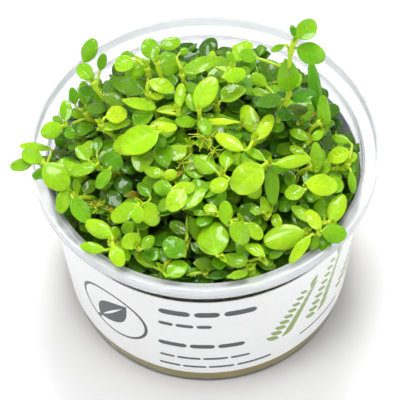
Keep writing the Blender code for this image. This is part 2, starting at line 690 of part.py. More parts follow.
def add_shoot(name, path, blades, made_of):
    """A square stem along its path, with its leaves drawn out of its sides at the joints."""
    bm = bmesh.new()
    bmesh.ops.create_cube(bm, size=1.0)
    cap = max(bm.faces, key=lambda face: face.calc_center_median().z)
    order = [int(math.degrees(math.atan2(v.co.y, v.co.x)) // 90) % 4 for v in cap.verts]
    foot, first, *rings = stem_rings(path, blades)
    set_corners([v for v in bm.verts if v not in cap.verts[:]], foot[0])
    set_corners(cap.verts, first[0])
    joints = []
    for ring, mine in rings:
        cap = extrude_to(bm, cap, [ring[corner] for corner in order])
        if mine:
            sides = [face for edge in cap.edges for face in edge.link_faces if face is not cap]
            joints.append((sides, mine))
    bud = path[-1] + (path[-1] - path[-2]).normalized() * BUD_LENGTH
    end = extrude_to(bm, cap, [bud] * 4)
    bmesh.ops.pointmerge(bm, verts=end.verts[:], merge_co=bud * MM)
    for sides, mine in reversed(joints):
        for blade in sorted(mine, key=lambda blade: -(blade.base - blade.joint).length):
            add_clear_blade(bm, sides, blade)
    mesh = bpy.data.meshes.new(name)
    bm.to_mesh(mesh)
    bm.free()
    add_object(name, mesh, made_of)


def outward(face, point):
    """The direction from a joint to one of the stem's sides round it."""
    return (face.calc_center_median() / MM - point).normalized()


def nearest_quarter_turn(heading, along, facing):
    """The way a joint's first side faces: towards its leaf, by the least twist from the joint below."""
    flat = (heading - along * heading.dot(along)).normalized()
    choices = [flat, along.cross(flat), -flat, -along.cross(flat)]
    return max(choices, key=lambda way: way.dot(facing))


def joints_of(shoot):
    """The joints of a listed shoot, the lowest first."""
    top = seen_on_mound(shoot.u, shoot.v, shoot.rise)
    lower = [seen_on_mound(*place) for place in shoot.lower]
    if len(shoot.leaves) > 2 and not lower:
        inward = Vector((-top.x, -top.y, 0)) * 0.02
        lower = [top + inward + Vector((0, 0, -2.6))]
    return [*reversed(lower), top]


def grow():
    """Every shoot as its name, its stem's path and its blades."""
    rng = random.Random(SEED)
    thicket = Thicket()
    stems = []
    for shoot in SHOOTS:
        joints = joints_of(shoot)
        path = find_stem(joints, thicket)
        if path:
            stems.append((shoot, path, joints))
    grown = []
    for shoot, path, joints in stems:
        blades = []
        for index, leaf in enumerate(shoot.leaves):
            joint = joints[-1 - min(index // 2, len(joints) - 1)]
            blades.append(first_clear(pushed_blades(leaf, joint, rng), thicket))
        grown.append((shoot.name, path, [blade for blade in blades if blade]))
    for number in range(1, SIDE_SHOOTS + 1):
        grown.append((f"side_{number}", *grow_side_shoot(thicket, rng)))
    return grown


def grow_side_shoot(thicket, rng):
    """A shoot with three pairs of leaves, each square to the next, in the barest place left."""
    places = []
    for index in range(SIDE_PLACES):
        out = SIDE_RADIUS * math.sqrt((index + 0.5) / SIDE_PLACES)
        x, y = out * math.cos(index * GOLDEN_TURN), out * math.sin(index * GOLDEN_TURN)
        height = min(mound(x, y) - 1.0, back_fall(x, y))
        joint = Vector((1.06 * x, 1.06 * y, CUP_HEIGHT + height))
        room = np.linalg.norm(thicket.centres - np.array(joint), axis=1).min()
        places.append((-room, index, joint))
    for _, _, top in sorted(places):
        joints = [top - Vector((0, 0, pair * PAIR_SPACING)) for pair in reversed(range(SIDE_PAIRS))]
        mark = len(thicket.radii)
        path = find_stem(joints, thicket)
        if not path:
            continue
        heading = rng.uniform(0, math.pi)
        blades = []
        for pair, joint in enumerate(reversed(joints)):
            for side in (0, math.pi):
                way = heading + pair * math.pi / 2 + side
                blades.append(first_clear(turned_blades(joint, way, rng.uniform(5.5, 8.5), rng), thicket))
        if sum(blade is not None for blade in blades) >= 4:
            return path, [blade for blade in blades if blade]
        thicket.forget(mark)
    raise ValueError("the cup has no room left for a side shoot")


def main():
    for old in list(bpy.data.objects):
        bpy.data.objects.remove(old)
    collection = bpy.data.collections.new(COLLECTION)
    bpy.context.scene.collection.children.link(collection)
    add_cup()
    add_label()
    add_gel()
    add_undergrowth()
    leafy = material("leaf green", (0.25, 0.55, 0.03), 0.35)
    for name, path, blades in grow():
        add_shoot("shoot_" + name, path, blades, leafy)


main()
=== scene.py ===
"""The look of the culture cup of creeping hygrophila: its leaves, stems, cup, label and gel.

Lengths are millimetres and are turned to metres where meshes are made, but the lamps' and the
materials' are metres. The origin is the middle of the cup's flat base, +Z is up, and the front is -Y.
"""

import math
import random
from collections import namedtuple
from itertools import product

import bpy
import numpy as np
from mathutils import Matrix, Vector
from mathutils.geometry import delaunay_2d_cdt


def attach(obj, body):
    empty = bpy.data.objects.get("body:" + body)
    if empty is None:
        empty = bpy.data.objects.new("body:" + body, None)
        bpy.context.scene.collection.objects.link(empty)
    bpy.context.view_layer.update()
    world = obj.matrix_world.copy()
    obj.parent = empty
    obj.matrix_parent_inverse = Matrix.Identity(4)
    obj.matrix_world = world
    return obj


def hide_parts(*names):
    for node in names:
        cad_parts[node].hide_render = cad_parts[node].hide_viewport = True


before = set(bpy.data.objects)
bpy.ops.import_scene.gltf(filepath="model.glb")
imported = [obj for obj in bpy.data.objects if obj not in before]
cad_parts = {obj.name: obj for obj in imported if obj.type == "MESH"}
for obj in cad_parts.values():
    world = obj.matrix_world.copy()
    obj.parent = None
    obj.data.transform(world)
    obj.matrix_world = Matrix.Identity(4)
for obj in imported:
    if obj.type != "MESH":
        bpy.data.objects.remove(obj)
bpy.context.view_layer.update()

MM = 0.001
SEED = 7

# The cup, a turned shell with a stepped collar. Its wall widens evenly from the base to the collar.
CUP_HEIGHT = 62.0
WALL = 0.8
FLOOR = 1.0
LIP_RADIUS = 50.0
LIP_DEPTH = 3.0
LEDGE_THICKNESS = 1.2
MOUTH_RADIUS = 45.4
NECK_RADIUS = 46.2
NECK_DROP = 1.7
BASE_RADIUS = 42.7
BASE_BEVEL = 0.8
EDGE_ROUND = 0.35
TURNED_STEPS = 192
SHARP_DEGREES = 40

# The gel, from just over the cup's thin floor up to a dished top.
THIN_FLOOR = 0.5
GEL_TOP = 12.0
GEL_DISH = 0.5
GEL_GAP = 0.06

# The label's sleeve, and the radius that its print is laid out on.
LABEL_GAP = 0.35
LABEL_BOTTOM = 7.2
LABEL_TOP = 50.2
LABEL_THICKNESS = 0.3
LABEL_SEAM_DEGREES = 4.0
LABEL_COLUMNS = 120
PRINT_RADIUS = 45.0
DEGREE = math.radians(1) * PRINT_RADIUS

# The mound of leaves, as heights over the lip, and the lumpy undergrowth below it.
MOUND_RADIUS = 44.0
MOUND_EDGE = 1.1
MOUND_MIDDLE = 13.0
MOUND_FALL = 11.0
MOUND_BACK_RISE = 5.0
UNDERGROWTH_DEPTH = 9.0
LUMPS = 1.1
SMALL_LUMPS = 0.7

# The room that a stem or a blade takes, as balls, and how far it keeps from what is round it.
STEM_ROOM = 0.9
BLADE_ROOM = 0.5
CLEARANCE = 0.25
FOOT_GAP = 1.0
GROUND_GAP = 1.5
WALL_GAP = 1.3
BALL_SPACING = 0.8
BLADE_SPACING = 1.1
JOINT_ROOM = 2.6

# A stem's foot is sought in widening turns round a place a little inward of its lowest joint.
STEM_TRIES = 90
FOOT_INWARD = 0.86
FOOT_STRAY = 0.85
FOOT_MARGIN = 4.0
FOOT_ROOM = 1.2
SHORTEST_STEM = 2.0
KNEE_HEIGHT = 0.55

# A seen leaf is tried at its joint's height, then further down its line of sight, then smaller.
LEAF_SIZES = (1.0, 0.88, 0.76, 0.64)
LEAF_PUSHES = 18
LEAF_START = 1.6
LEAF_PUSH = 0.55
LEAF_CUPPING = 0.14
LEAF_DROOP = 0.10
JOINT_DROP = 2.6
JOINT_INWARD = 0.02

# Side shoots fill the barest places that the listed ones leave, with leaves turned and sized to fit.
SIDE_SHOOTS = 9
SIDE_PLACES = 150
SIDE_RADIUS = 38.5
SIDE_REACH = 5.0
SIDE_PAIRS = 3
SIDE_OUTWARD = 1.06
SIDE_DROP = 1.0
SIDE_LEAST_LEAVES = 4
SIDE_SIZES = (1.0, 0.8, 0.65)
SIDE_TURNS = (0, 25, -25, 50, -50, 80, -80)
SIDE_STALK = 1.6
# A side shoot's greens, from its top pair down: darker lower down, as painted shade.
SIDE_GREENS = (7, 7, 6, 6, 5, 5)
PAIR_SPACING = 2.8
GOLDEN_TURN = math.radians(137.5)

# At its back the crown ends short of the wall, and falls away to there.
BACK_RADIUS = 35.0
BACK_SLOPE = 1.12

# How finely a leaf is made up, as its columns and its rows from base to tip, and its stalk.
LEAF_GRID = (10, 18)
LOWER_GRID = (6, 12)
SMALL_GRID = (4, 8)
STALK_ROWS = 4
STALK_RADIUS = 0.4
LEAF_HALF_THICKNESS = 0.15
STALK_FLARE = 0.9
LEAST_HALF_WIDTH = 0.03

# How many veins a leaf has on each side, how far forward they sweep and how much they arch.
VEINS = 4.5
VEIN_SWEEP = 0.28
VEIN_ARCH = 0.9

# A stem's sides and radii, and how it swells at its joints.
STEM_SIDES = 8
STEM_THICK = 0.78
STEM_THIN = 0.6
JOINT_SWELL = 0.22
JOINT_REACH = 0.8

# The undergrowth's sprigs, how far under their tips their leaves stand, and how its leaves find room.
SPRIGS = 150
SPRIG_RADIUS = 42.3
SPRIG_EDGE = 40.0
SPRIG_FOOT = GEL_TOP + 0.35
SPRIG_PAIRS = (0.0, 1.9, 4.2, 6.8, 9.6, 12.8)
UPPER_PAIRS = 3
LOWER_PAIRS = 3
LEAF_TRIES = ((0, 1), (0.5, 1), (-0.5, 1), (0.3, 0.8), (-0.9, 0.8), (0.9, 0.65), (0, 0.5))
LEAF_ROOM = 0.25
ROOM_CELL = 3.0
EDGE_ROOM = 0.4
WALL_ROOM = 0.5

# Where the photograph of the cup was taken from, for placing leaves by what it shows.
EYE = Vector((0.0, -278.0, 416.0))
AIM = Vector((-1.8, -19.6, CUP_HEIGHT))
ROLL = math.radians(-2.1)
FOCAL_PIXELS = 1564.0
PHOTO_MIDDLE = 200.0
SENSOR_WIDTH = 36.0

# A leaf is the pixel where its blade begins, the pixel of its tip, the blade's width in pixels, and its
# green from dark 0 to bright 9, which is partly its own green and partly painted light and shade. Its
# lean is how far it tips up from lying flat, in degrees.
Leaf = namedtuple("Leaf", "u v tip_u tip_v width green lean", defaults=(24,))

# A blade is a leaf in space: its stem's joint, its base and tip, its width, and the way its face looks.
Blade = namedtuple("Blade", "joint base tip width up")

# A look is how a leaf's sheet bends and how bright and warm its green is.
Look = namedtuple("Look", "cup fold curl twist wave phase tone warm")
LOOK_RANGES = (
    (-0.55, 0.15), (0.0, 0.05), (-0.1, 0.5), (-0.25, 0.25),
    (0.0, 0.5), (0, math.tau), (-0.05, 0.05), (0.0, 0.12))

# A shoot is its name, the pixel of its top joint, its height over the mound, and its leaves from the top
# down, in pairs at its joints.
SHOOTS = [
    ("tall", 294, 42, 38, (298, 38, 315, 21, 20, 6, 45), (296, 37, 291, 25, 7, 4, 50),
     (297, 48, 325, 59, 22, 5, 40), (284, 45, 271, 51, 7, 5, 50), (257, 58, 239, 53, 14, 5, 40),
     (278, 64, 263, 60, 5, 4, 40), (289, 91, 288, 68, 23, 6, 50)),
    ("folded_pair", 320, 122, 6, (318, 112, 312, 64, 13, 4, 66), (325, 134, 323, 97, 14, 6, 66)),
    ("back_left_sprig", 93, 82, 12, (92, 78, 78, 65, 16, 6, 40), (84, 62, 93, 40, 16, 5, 50),
     (100, 70, 104, 54, 10, 5, 50)),
    ("back_left_low", 86, 112, 3, (86, 105, 83, 82, 13, 5, 60), (75, 104, 72, 88, 10, 5, 60),
     (66, 121, 66, 100, 13, 6, 40), (92, 114, 70, 112, 12, 7, 20)),
    ("left_upper", 64, 125, 6, (62, 126, 40, 133, 18, 7), (62, 123, 53, 116, 8, 5),
     (64, 127, 74, 138, 12, 5)),
    ("left_overhang", 42, 161, 7, (45, 164, 66, 188, 26, 7), (42, 160, 21, 152, 16, 7),
     (32, 163, 10, 167, 13, 6), (50, 149, 19, 144, 9, 7)),
    ("left_rim", 72, 194, 3, (67, 188, 60, 213, 15, 7), (73, 198, 88, 222, 18, 5),
     (77, 194, 76, 180, 9, 6, 50)),
    ("left_bright", 96, 163, 4, (96, 165, 72, 173, 13, 7), (88, 160, 77, 146, 13, 6),
     (97, 152, 98, 136, 10, 5)),
    ("left_dark", 108, 168, 1, (110, 169, 97, 188, 13, 6), (104, 154, 121, 168, 20, 4)),
    ("left_broad", 113, 214, -1, (113, 213, 110, 179, 24, 4, 30)),
    ("left_crown", 101, 124, 5, (106, 117, 127, 112, 18, 9), (100, 121, 98, 87, 11, 6, 60),
     (98, 129, 132, 121, 10, 7)),
    ("back_oval", 147, 68, 7, (133, 60, 115, 68, 18, 7, 30), (147, 62, 128, 79, 15, 7, 30),
     (144, 92, 112, 80, 18, 4), (134, 56, 121, 54, 8, 5)),
    ("back_round", 157, 62, 9, (153, 59, 148, 38, 19, 6, 45), (160, 47, 180, 40, 14, 6, 40),
     (157, 68, 180, 62, 22, 6, 30)),
    ("back_long", 182, 74, 6, (182, 73, 218, 57, 16, 6, 35), (179, 54, 189, 49, 10, 6, 40)),
    ("back_gloss", 148, 93, 6, (149, 82, 174, 89, 16, 8), (150, 96, 164, 95, 9, 8),
     (124, 101, 156, 107, 12, 7)),
    ("back_upright", 178, 109, 4, (179, 107, 181, 83, 12, 8, 40), (181, 92, 198, 84, 11, 6, 30),
     (158, 110, 177, 108, 8, 8)),
    ("great_round", 156, 131, 8, (158, 133, 121, 148, 30, 8), (149, 127, 177, 126, 13, 9),
     (155, 135, 165, 145, 12, 4)),
    ("back_middle", 199, 109, 5, (197, 108, 214, 76, 23, 8, 35)),
    ("back_right_small", 232, 68, 5, (224, 78, 246, 72, 16, 8, 30), (234, 64, 228, 52, 8, 6, 50),
     (240, 73, 250, 69, 10, 5, 40), (213, 62, 212, 51, 8, 8, 50)),
    ("right_long", 284, 112, 2, (283, 112, 254, 88, 15, 6), (266, 86, 252, 74, 13, 7, 40)),
    ("middle_long", 255, 138, 5, (259, 139, 271, 113, 15, 9), (243, 150, 216, 132, 16, 9),
     (256, 133, 243, 104, 19, 8)),
    ("middle_arch", 241, 124, 1, (240, 122, 199, 121, 10, 9), (240, 128, 222, 118, 10, 4)),
    ("middle_kidney", 222, 174, 3, (226, 168, 226, 148, 15, 7), (228, 181, 210, 188, 17, 8),
     (216, 171, 194, 157, 20, 7)),
    ("great_gloss", 269, 163, 6, (262, 166, 234, 190, 32, 8), (276, 164, 311, 157, 14, 8),
     (266, 161, 243, 145, 11, 7), (271, 166, 273, 204, 15, 5)),
    ("right_round", 306, 186, 4, (306, 183, 338, 187, 22, 8), (304, 190, 285, 195, 16, 7),
     (291, 188, 289, 170, 12, 5)),
    ("right_upright", 312, 168, 3, (317, 172, 316, 142, 13, 6, 35), (304, 153, 290, 146, 11, 8)),
    ("right_edge", 348, 163, 4, (349, 152, 328, 159, 17, 8), (349, 142, 332, 136, 10, 6),
     (347, 160, 357, 153, 10, 7), (351, 172, 354, 193, 9, 6)),
    ("right_rim", 330, 223, 5, (331, 222, 343, 193, 18, 8), (315, 223, 292, 205, 12, 7)),
    ("right_rosette", 320, 232, 7, (322, 231, 347, 235, 20, 6), (320, 230, 307, 209, 14, 8),
     (310, 236, 290, 262, 12, 8), (318, 236, 312, 250, 10, 5)),
    ("front_right_broad", 306, 231, 4, (304, 232, 264, 241, 26, 7), (279, 229, 274, 213, 11, 7),
     (283, 250, 269, 257, 10, 5)),
    ("front_pointed", 222, 257, 4, (216, 255, 209, 221, 33, 7)),
    ("front_ovals", 262, 258, 2, (264, 255, 246, 244, 13, 7), (246, 259, 238, 239, 13, 6)),
    ("middle_pair", 240, 220, 3, (232, 223, 248, 243, 20, 7), (226, 224, 225, 201, 15, 7, 35),
     (246, 224, 262, 238, 15, 7), (250, 221, 244, 203, 20, 4)),
    ("middle_small", 268, 214, 3, (268, 217, 263, 196, 10, 7), (262, 212, 250, 209, 10, 6),
     (272, 206, 273, 190, 12, 6)),
    ("middle_rosette", 178, 190, 5, (184, 190, 169, 209, 21, 8), (172, 190, 196, 187, 14, 8),
     (172, 188, 153, 187, 16, 6), (186, 208, 204, 187, 14, 7)),
    ("middle_left", 163, 176, 2, (164, 175, 144, 169, 12, 8), (163, 177, 177, 173, 12, 8),
     (163, 172, 159, 160, 8, 5)),
    ("front_left_great", 140, 204, 5, (138, 206, 138, 223, 14, 7), (136, 205, 111, 219, 20, 7),
     (142, 203, 158, 224, 21, 8), (150, 196, 139, 182, 13, 5)),
    ("front_left_rounds", 137, 246, 3, (122, 246, 140, 236, 17, 8), (142, 249, 153, 235, 13, 6),
     (134, 223, 122, 232, 13, 7)),
    ("front_gloss", 185, 245, 1, (183, 256, 165, 239, 23, 5), (186, 233, 170, 222, 13, 4),
     (190, 217, 202, 240, 15, 6)),
    ("front_left_rosette", 111, 243, 6, (112, 236, 85, 221, 18, 8), (113, 246, 121, 266, 16, 8),
     (104, 250, 80, 245, 12, 7), (113, 240, 116, 226, 10, 8)),
    ("front_rim_left", 162, 268, 2, (168, 276, 186, 261, 19, 6), (156, 268, 133, 250, 14, 7),
     (166, 278, 146, 277, 8, 5)),
    ("front_rim", 205, 272, -1, (195, 262, 217, 266, 13, 3), (187, 274, 200, 270, 9, 5),
     (208, 277, 227, 273, 9, 3)),
    ("front_rim_right", 250, 267, 1, (229, 277, 248, 272, 9, 6), (258, 263, 276, 266, 11, 6),
     (251, 276, 254, 265, 7, 6)),
    ("middle_ring", 214, 213, 2, (217, 212, 204, 206, 12, 8), (205, 214, 193, 211, 7, 6)),
    ("right_tuft", 309, 140, 3, (309, 139, 290, 130, 11, 7), (312, 140, 323, 130, 10, 7),
     (306, 142, 302, 155, 10, 7)),
    ("back_right_tuft", 299, 124, 2, (301, 123, 312, 104, 12, 6), (298, 121, 294, 102, 9, 5)),
]

# The joints under the top one, where several show. Any other shoot with two pairs has one close below it.
LOWER_JOINTS = {"tall": [(291, 51, 34), (289, 70, 25), (289, 94, 14)]}

# A leaf that rises in front of its own stem, by shoot and number: how far its base and tip are in front.
FORWARD_LEAVES = {("tall", 6): (5.0, 14.0)}

# Tufts of fine roots: a pixel, the height over the crown, the number of roots and how long they are.
ROOT_TUFTS = [
    (206, 137, 1.5, 30, 5.0), (184, 162, -1.0, 12, 4.5), (96, 207, -1.0, 12, 4.0), (214, 152, 0.5, 9, 4.0)]

# Where withered scraps lie among the leaves, as pixels and the height over the crown.
WITHERED = [
    (281, 120, -2.0), (308, 124, -1.5), (124, 195, -2.0), (104, 209, -2.0), (127, 94, -3.0),
    (184, 172, -3.0)]

# Where the crown is open and the leaves under it are in shade, as pixels, and how far round each. The
# undergrowth's green there is darkened as painted shade.
DARK_GAPS = [
    (120, 160), (160, 152), (208, 172), (236, 206), (224, 236), (192, 228), (276, 208), (264, 176),
    (130, 132)]
GAP_DEPTH = -6.0
GAP_REACH = 6.0


def camera_axes():
    """The photograph's directions: ahead, to its right and up."""
    forward = (AIM - EYE).normalized()
    level = forward.cross(Vector((0, 0, 1))).normalized()
    rise = level.cross(forward)
    right = math.cos(ROLL) * level + math.sin(ROLL) * rise
    return forward, right, math.cos(ROLL) * rise - math.sin(ROLL) * level


def sight(u, v):
    """The direction of the line of sight through a pixel of the photograph."""
    forward, right, up = camera_axes()
    return forward + right * (u - PHOTO_MIDDLE) / FOCAL_PIXELS - up * (v - PHOTO_MIDDLE) / FOCAL_PIXELS


def seen_at(u, v, height):
    """The point at this height over the lip that the photograph shows at a pixel."""
    line = sight(u, v)
    return EYE + line * ((CUP_HEIGHT + height - EYE.z) / line.z)


def mound(x, y):
    """How high the crown of the mound stands over the lip."""
    out = min(math.hypot(x, y) / MOUND_RADIUS, MOUND_EDGE)
    return MOUND_MIDDLE - MOUND_FALL * out**2 + MOUND_BACK_RISE * y / MOUND_RADIUS


def seen_on_mound(u, v, rise):
    """The point seen at a pixel, this far over the mound's crown."""
    point = seen_at(u, v, rise)
    for _ in range(4):
        point = seen_at(u, v, mound(point.x, point.y) + rise)
    return point


def back_fall(x, y):
    """The height over the lip that side shoots keep under, to let the crown fall away at its back."""
    edge = math.sqrt(max(BACK_RADIUS**2 - x * x, 0.0))
    return BACK_SLOPE * (edge - y - SIDE_REACH)


def ground(x, y):
    """The height of the undergrowth's lumpy top, from the cup's base."""
    large = LUMPS * math.sin(0.31 * x + 0.9) * math.cos(0.27 * y - 0.4)
    small = SMALL_LUMPS * math.sin(0.23 * (x - y))
    return CUP_HEIGHT + mound(x, y) - UNDERGROWTH_DEPTH + (large + small)


def inside_wall(z):
    """The radius of the cup's inner wall at a height."""
    share = (z - FLOOR) / (CUP_HEIGHT - LIP_DEPTH - FLOOR)
    return (BASE_RADIUS - WALL) + (MOUTH_RADIUS - BASE_RADIUS + WALL) * share


def outside_wall(z):
    """The radius of the cup's outer wall at a height."""
    share = (z - BASE_BEVEL) / (CUP_HEIGHT - LIP_DEPTH - NECK_DROP - BASE_BEVEL)
    return BASE_RADIUS + (NECK_RADIUS - BASE_RADIUS) * share


def meets_cup(x, y, z):
    """Whether a ball here would touch the cup's wall, its ledge or its lip."""
    out = math.hypot(x, y)
    if z > CUP_HEIGHT + WALL_GAP or out > LIP_RADIUS + WALL_GAP:
        return False
    over_ledge = z > CUP_HEIGHT - LIP_DEPTH + WALL_GAP
    return out > (LIP_RADIUS - WALL if over_ledge else MOUTH_RADIUS) - WALL_GAP


def spread(count, radius):
    """Places spread evenly over a disc, like the seeds of a sunflower."""
    for index in range(count):
        out = radius * math.sqrt((index + 0.5) / count)
        yield out * math.cos(index * GOLDEN_TURN), out * math.sin(index * GOLDEN_TURN)


def direction(turn, rise):
    """The way that is turned about Z and rises this far."""
    return math.cos(turn) * math.cos(rise), math.sin(turn) * math.cos(rise), math.sin(rise)


class Room:
    """The room that stems and leaves have taken, as balls in cells, so that a test looks only nearby."""

    def __init__(self):
        self.balls = []
        self.cells = {}

    def key(self, point):
        return tuple(math.floor(c / ROOM_CELL) for c in point[:3])

    def take(self, points, radius):
        for ball in ((*point, radius) for point in points):
            self.balls.append(ball)
            self.cells.setdefault(self.key(ball), []).append(ball)

    def forget(self, mark):
        """Gives back the room taken since this many balls."""
        for ball in self.balls[mark:]:
            self.cells[self.key(ball)].remove(ball)
        del self.balls[mark:]

    def is_free(self, points, radius):
        for point in points:
            around = product(*((c - 1, c, c + 1) for c in self.key(point)))
            near = [ball for cell in around for ball in self.cells.get(cell, ())]
            if near:
                near = np.array(near)
                if (np.linalg.norm(near[:, :3] - point, axis=1) < near[:, 3] + radius).any():
                    return False
        return True

    def is_clear(self, points, radius):
        """Whether balls of this radius are clear of what grows here, of the cup and of the ground."""
        if any(meets_cup(x, y, z) or z < ground(x, y) + GROUND_GAP for x, y, z in points):
            return False
        return self.is_free(points, radius + CLEARANCE)


def balls_along(path):
    """Points at an even spacing along a path."""
    points = []
    for start, end in zip(path, path[1:]):
        count = max(1, math.ceil((end - start).length / BALL_SPACING))
        points += [start.lerp(end, i / count) for i in range(count)]
    return np.array([*points, path[-1]])


def find_stem(joints, room):
    """The path of a stem that rises upright and bends to its joints, where it has room, which it takes."""
    low = joints[0]
    for attempt in range(STEM_TRIES):
        turn = attempt * GOLDEN_TURN
        stray = FOOT_STRAY * math.sqrt(attempt)
        x = FOOT_INWARD * low.x + stray * math.cos(turn)
        y = FOOT_INWARD * low.y + stray * math.sin(turn)
        foot = Vector((x, y, ground(x, y) + FOOT_GAP))
        if math.hypot(x, y) > MOUTH_RADIUS - FOOT_MARGIN or foot.z > low.z - SHORTEST_STEM:
            continue
        knee = Vector((x, y, foot.z + KNEE_HEIGHT * (low.z - foot.z)))
        bend = [foot * (1 - t) ** 2 + knee * 2 * t * (1 - t) + low * t**2 for t in (0.0, 0.35, 0.7)]
        path = [*bend, *joints]
        balls = balls_along(path)
        if room.is_clear(balls[balls[:, 2] > foot.z + FOOT_ROOM], STEM_ROOM):
            room.take(balls, STEM_ROOM)
            return path
    return None


def blade_frame(blade):
    """The blade's length and its directions along, across and up."""
    along = blade.tip - blade.base
    length = along.length
    along.normalize()
    across = along.cross(blade.up).normalized()
    return length, along, across, across.cross(along)


def half_width(share):
    """The blade's outline, as a share of its widest."""
    return 0.12 + 0.88 * math.sin(math.pi * share**0.85) ** 0.7 if share < 1 else 0.0


def blade_point(blade, share, sideways):
    """A point of the blade's middle sheet: share of its length, and -1 to 1 from edge to edge."""
    length, along, across, up = blade_frame(blade)
    half = half_width(share) * blade.width / 2
    lift = LEAF_CUPPING * half * sideways**2 - LEAF_DROOP * length * share**2
    return blade.base + along * (length * share) + across * (half * sideways) + up * lift


def blade_balls(blade):
    """Balls over the blade and along its stalk, but not where it joins its own stem."""
    rows = max(3, math.ceil((blade.tip - blade.base).length / BLADE_SPACING))
    points = []
    for share in (row / rows for row in range(1, rows + 1)):
        columns = max(1, math.ceil(half_width(share) * blade.width / BLADE_SPACING))
        points += [blade_point(blade, share, 2 * c / columns - 1) for c in range(columns + 1)]
    balls = np.array([*points, *balls_along([blade.joint, blade.base])])
    return balls[np.linalg.norm(balls - np.array(blade.joint), axis=1) > JOINT_ROOM]


def pushed_blades(leaf, joint, rng):
    """A seen leaf, then the same leaf further down its line of sight, then smaller."""
    lean = math.radians(leaf.lean + rng.uniform(-8, 8))
    swing = rng.uniform(-0.25, 0.25)
    face = Vector((math.sin(swing) * math.sin(lean), -math.cos(swing) * math.sin(lean), math.cos(lean)))
    middle_u, middle_v = (leaf.u + leaf.tip_u) / 2, (leaf.v + leaf.tip_v) / 2
    for size in LEAF_SIZES:
        for push in range(LEAF_PUSHES):
            height = joint.z - CUP_HEIGHT + LEAF_START - LEAF_PUSH * push
            middle = seen_at(middle_u, middle_v, height)
            ends = []
            for u, v in ((leaf.u, leaf.v), (leaf.tip_u, leaf.tip_v)):
                line = sight(middle_u + size * (u - middle_u), middle_v + size * (v - middle_v))
                ends.append(EYE + line * (face.dot(middle - EYE) / face.dot(line)))
            scale = (middle - EYE).length / FOCAL_PIXELS
            yield Blade(joint, *ends, size * leaf.width * scale, face)


def turned_blades(joint, heading, length, rng):
    """A side leaf at a joint, then the same leaf turned further round, then smaller."""
    droop = rng.uniform(-0.1, 0.45)
    for size, turn in product(SIDE_SIZES, SIDE_TURNS):
        angle = heading + math.radians(turn)
        out = Vector((math.cos(angle), math.sin(angle), droop)).normalized()
        base = joint + out * SIDE_STALK
        face = Vector((-0.3 * math.cos(angle), -0.3 * math.sin(angle), 1)).normalized()
        yield Blade(joint, base, base + out * length * size, 0.85 * length * size, face)


def first_clear(blades, room):
    """The first of these blades that has room, which it then takes."""
    for blade in blades:
        balls = blade_balls(blade)
        if room.is_clear(balls, BLADE_ROOM):
            room.take(balls, BLADE_ROOM)
            return blade
    return None


def find_joints(name, u, v, rise, leaves):
    """The joints of a listed shoot, the lowest first."""
    top = seen_on_mound(u, v, rise)
    lower = [seen_on_mound(*place) for place in LOWER_JOINTS.get(name, ())]
    if len(leaves) > 2 and not lower:
        lower = [top + Vector((-top.x, -top.y, 0)) * JOINT_INWARD + Vector((0, 0, -JOINT_DROP))]
    return [*reversed(lower), top]


def grow():
    """Every shoot as its name, its stem's path, its blades and their greens, and the room they take."""
    rng = random.Random(SEED)
    room = Room()
    rooted = []
    for name, u, v, rise, *leaves in SHOOTS:
        joints = find_joints(name, u, v, rise, leaves)
        rooted.append((name, find_stem(joints, room), joints, [Leaf(*leaf) for leaf in leaves]))
    grown = []
    for name, path, joints, leaves in rooted:
        stations = [joints[-1 - min(index // 2, len(joints) - 1)] for index in range(len(leaves))]
        blades = [first_clear(pushed_blades(*pair, rng), room) for pair in zip(leaves, stations)]
        grown.append((name, path, blades, [leaf.green for leaf in leaves]))
    for number in range(1, SIDE_SHOOTS + 1):
        grown.append((f"side_{number}", *grow_side_shoot(room, rng), SIDE_GREENS))
    return grown, room


def grow_side_shoot(room, rng):
    """A shoot with three pairs of leaves, each square to the next, in the barest place left."""
    taken = np.array(room.balls)[:, :3]
    places = []
    for index, (x, y) in enumerate(spread(SIDE_PLACES, SIDE_RADIUS)):
        height = min(mound(x, y) - SIDE_DROP, back_fall(x, y))
        joint = Vector((SIDE_OUTWARD * x, SIDE_OUTWARD * y, CUP_HEIGHT + height))
        bare = np.linalg.norm(taken - np.array(joint), axis=1).min()
        places.append((-bare, index, joint))
    for _, _, top in sorted(places):
        joints = [top - Vector((0, 0, pair * PAIR_SPACING)) for pair in reversed(range(SIDE_PAIRS))]
        mark = len(room.balls)
        path = find_stem(joints, room)
        if not path:
            continue
        blades = []
        for _, joint, way in pair_places(reversed(joints), rng.uniform(0, math.pi)):
            blades.append(first_clear(turned_blades(joint, way, rng.uniform(5.5, 8.5), rng), room))
        if sum(blade is not None for blade in blades) >= SIDE_LEAST_LEAVES:
            return path, blades
        room.forget(mark)
    raise ValueError("the cup has no room left for a side shoot")


def pair_places(joints, heading, first=0):
    """Each leaf's pair, joint and way, for pairs that stand square to the next."""
    for pair, joint in enumerate(joints, first):
        for side in (0, math.pi):
            yield pair, joint, heading + pair * math.pi / 2 + side


def unit(vector):
    return vector / max(np.linalg.norm(vector), 1e-9)


def add_object(name, data):
    """A mesh, lamp or camera, put in the scene."""
    made = bpy.data.objects.new(name, data)
    bpy.context.scene.collection.objects.link(made)
    return made


def add_piece(name, points, faces, *materials, sharp=None):
    """A smooth piece, sharp where its faces meet at more than an angle in degrees."""
    mesh = bpy.data.meshes.new(name)
    mesh.from_pydata(np.array(points) * MM, [], faces)
    mesh.shade_smooth()
    if sharp:
        mesh.set_sharp_from_angle(angle=math.radians(sharp))
    for made_of in materials:
        mesh.materials.append(made_of)
    return add_object(name, mesh)


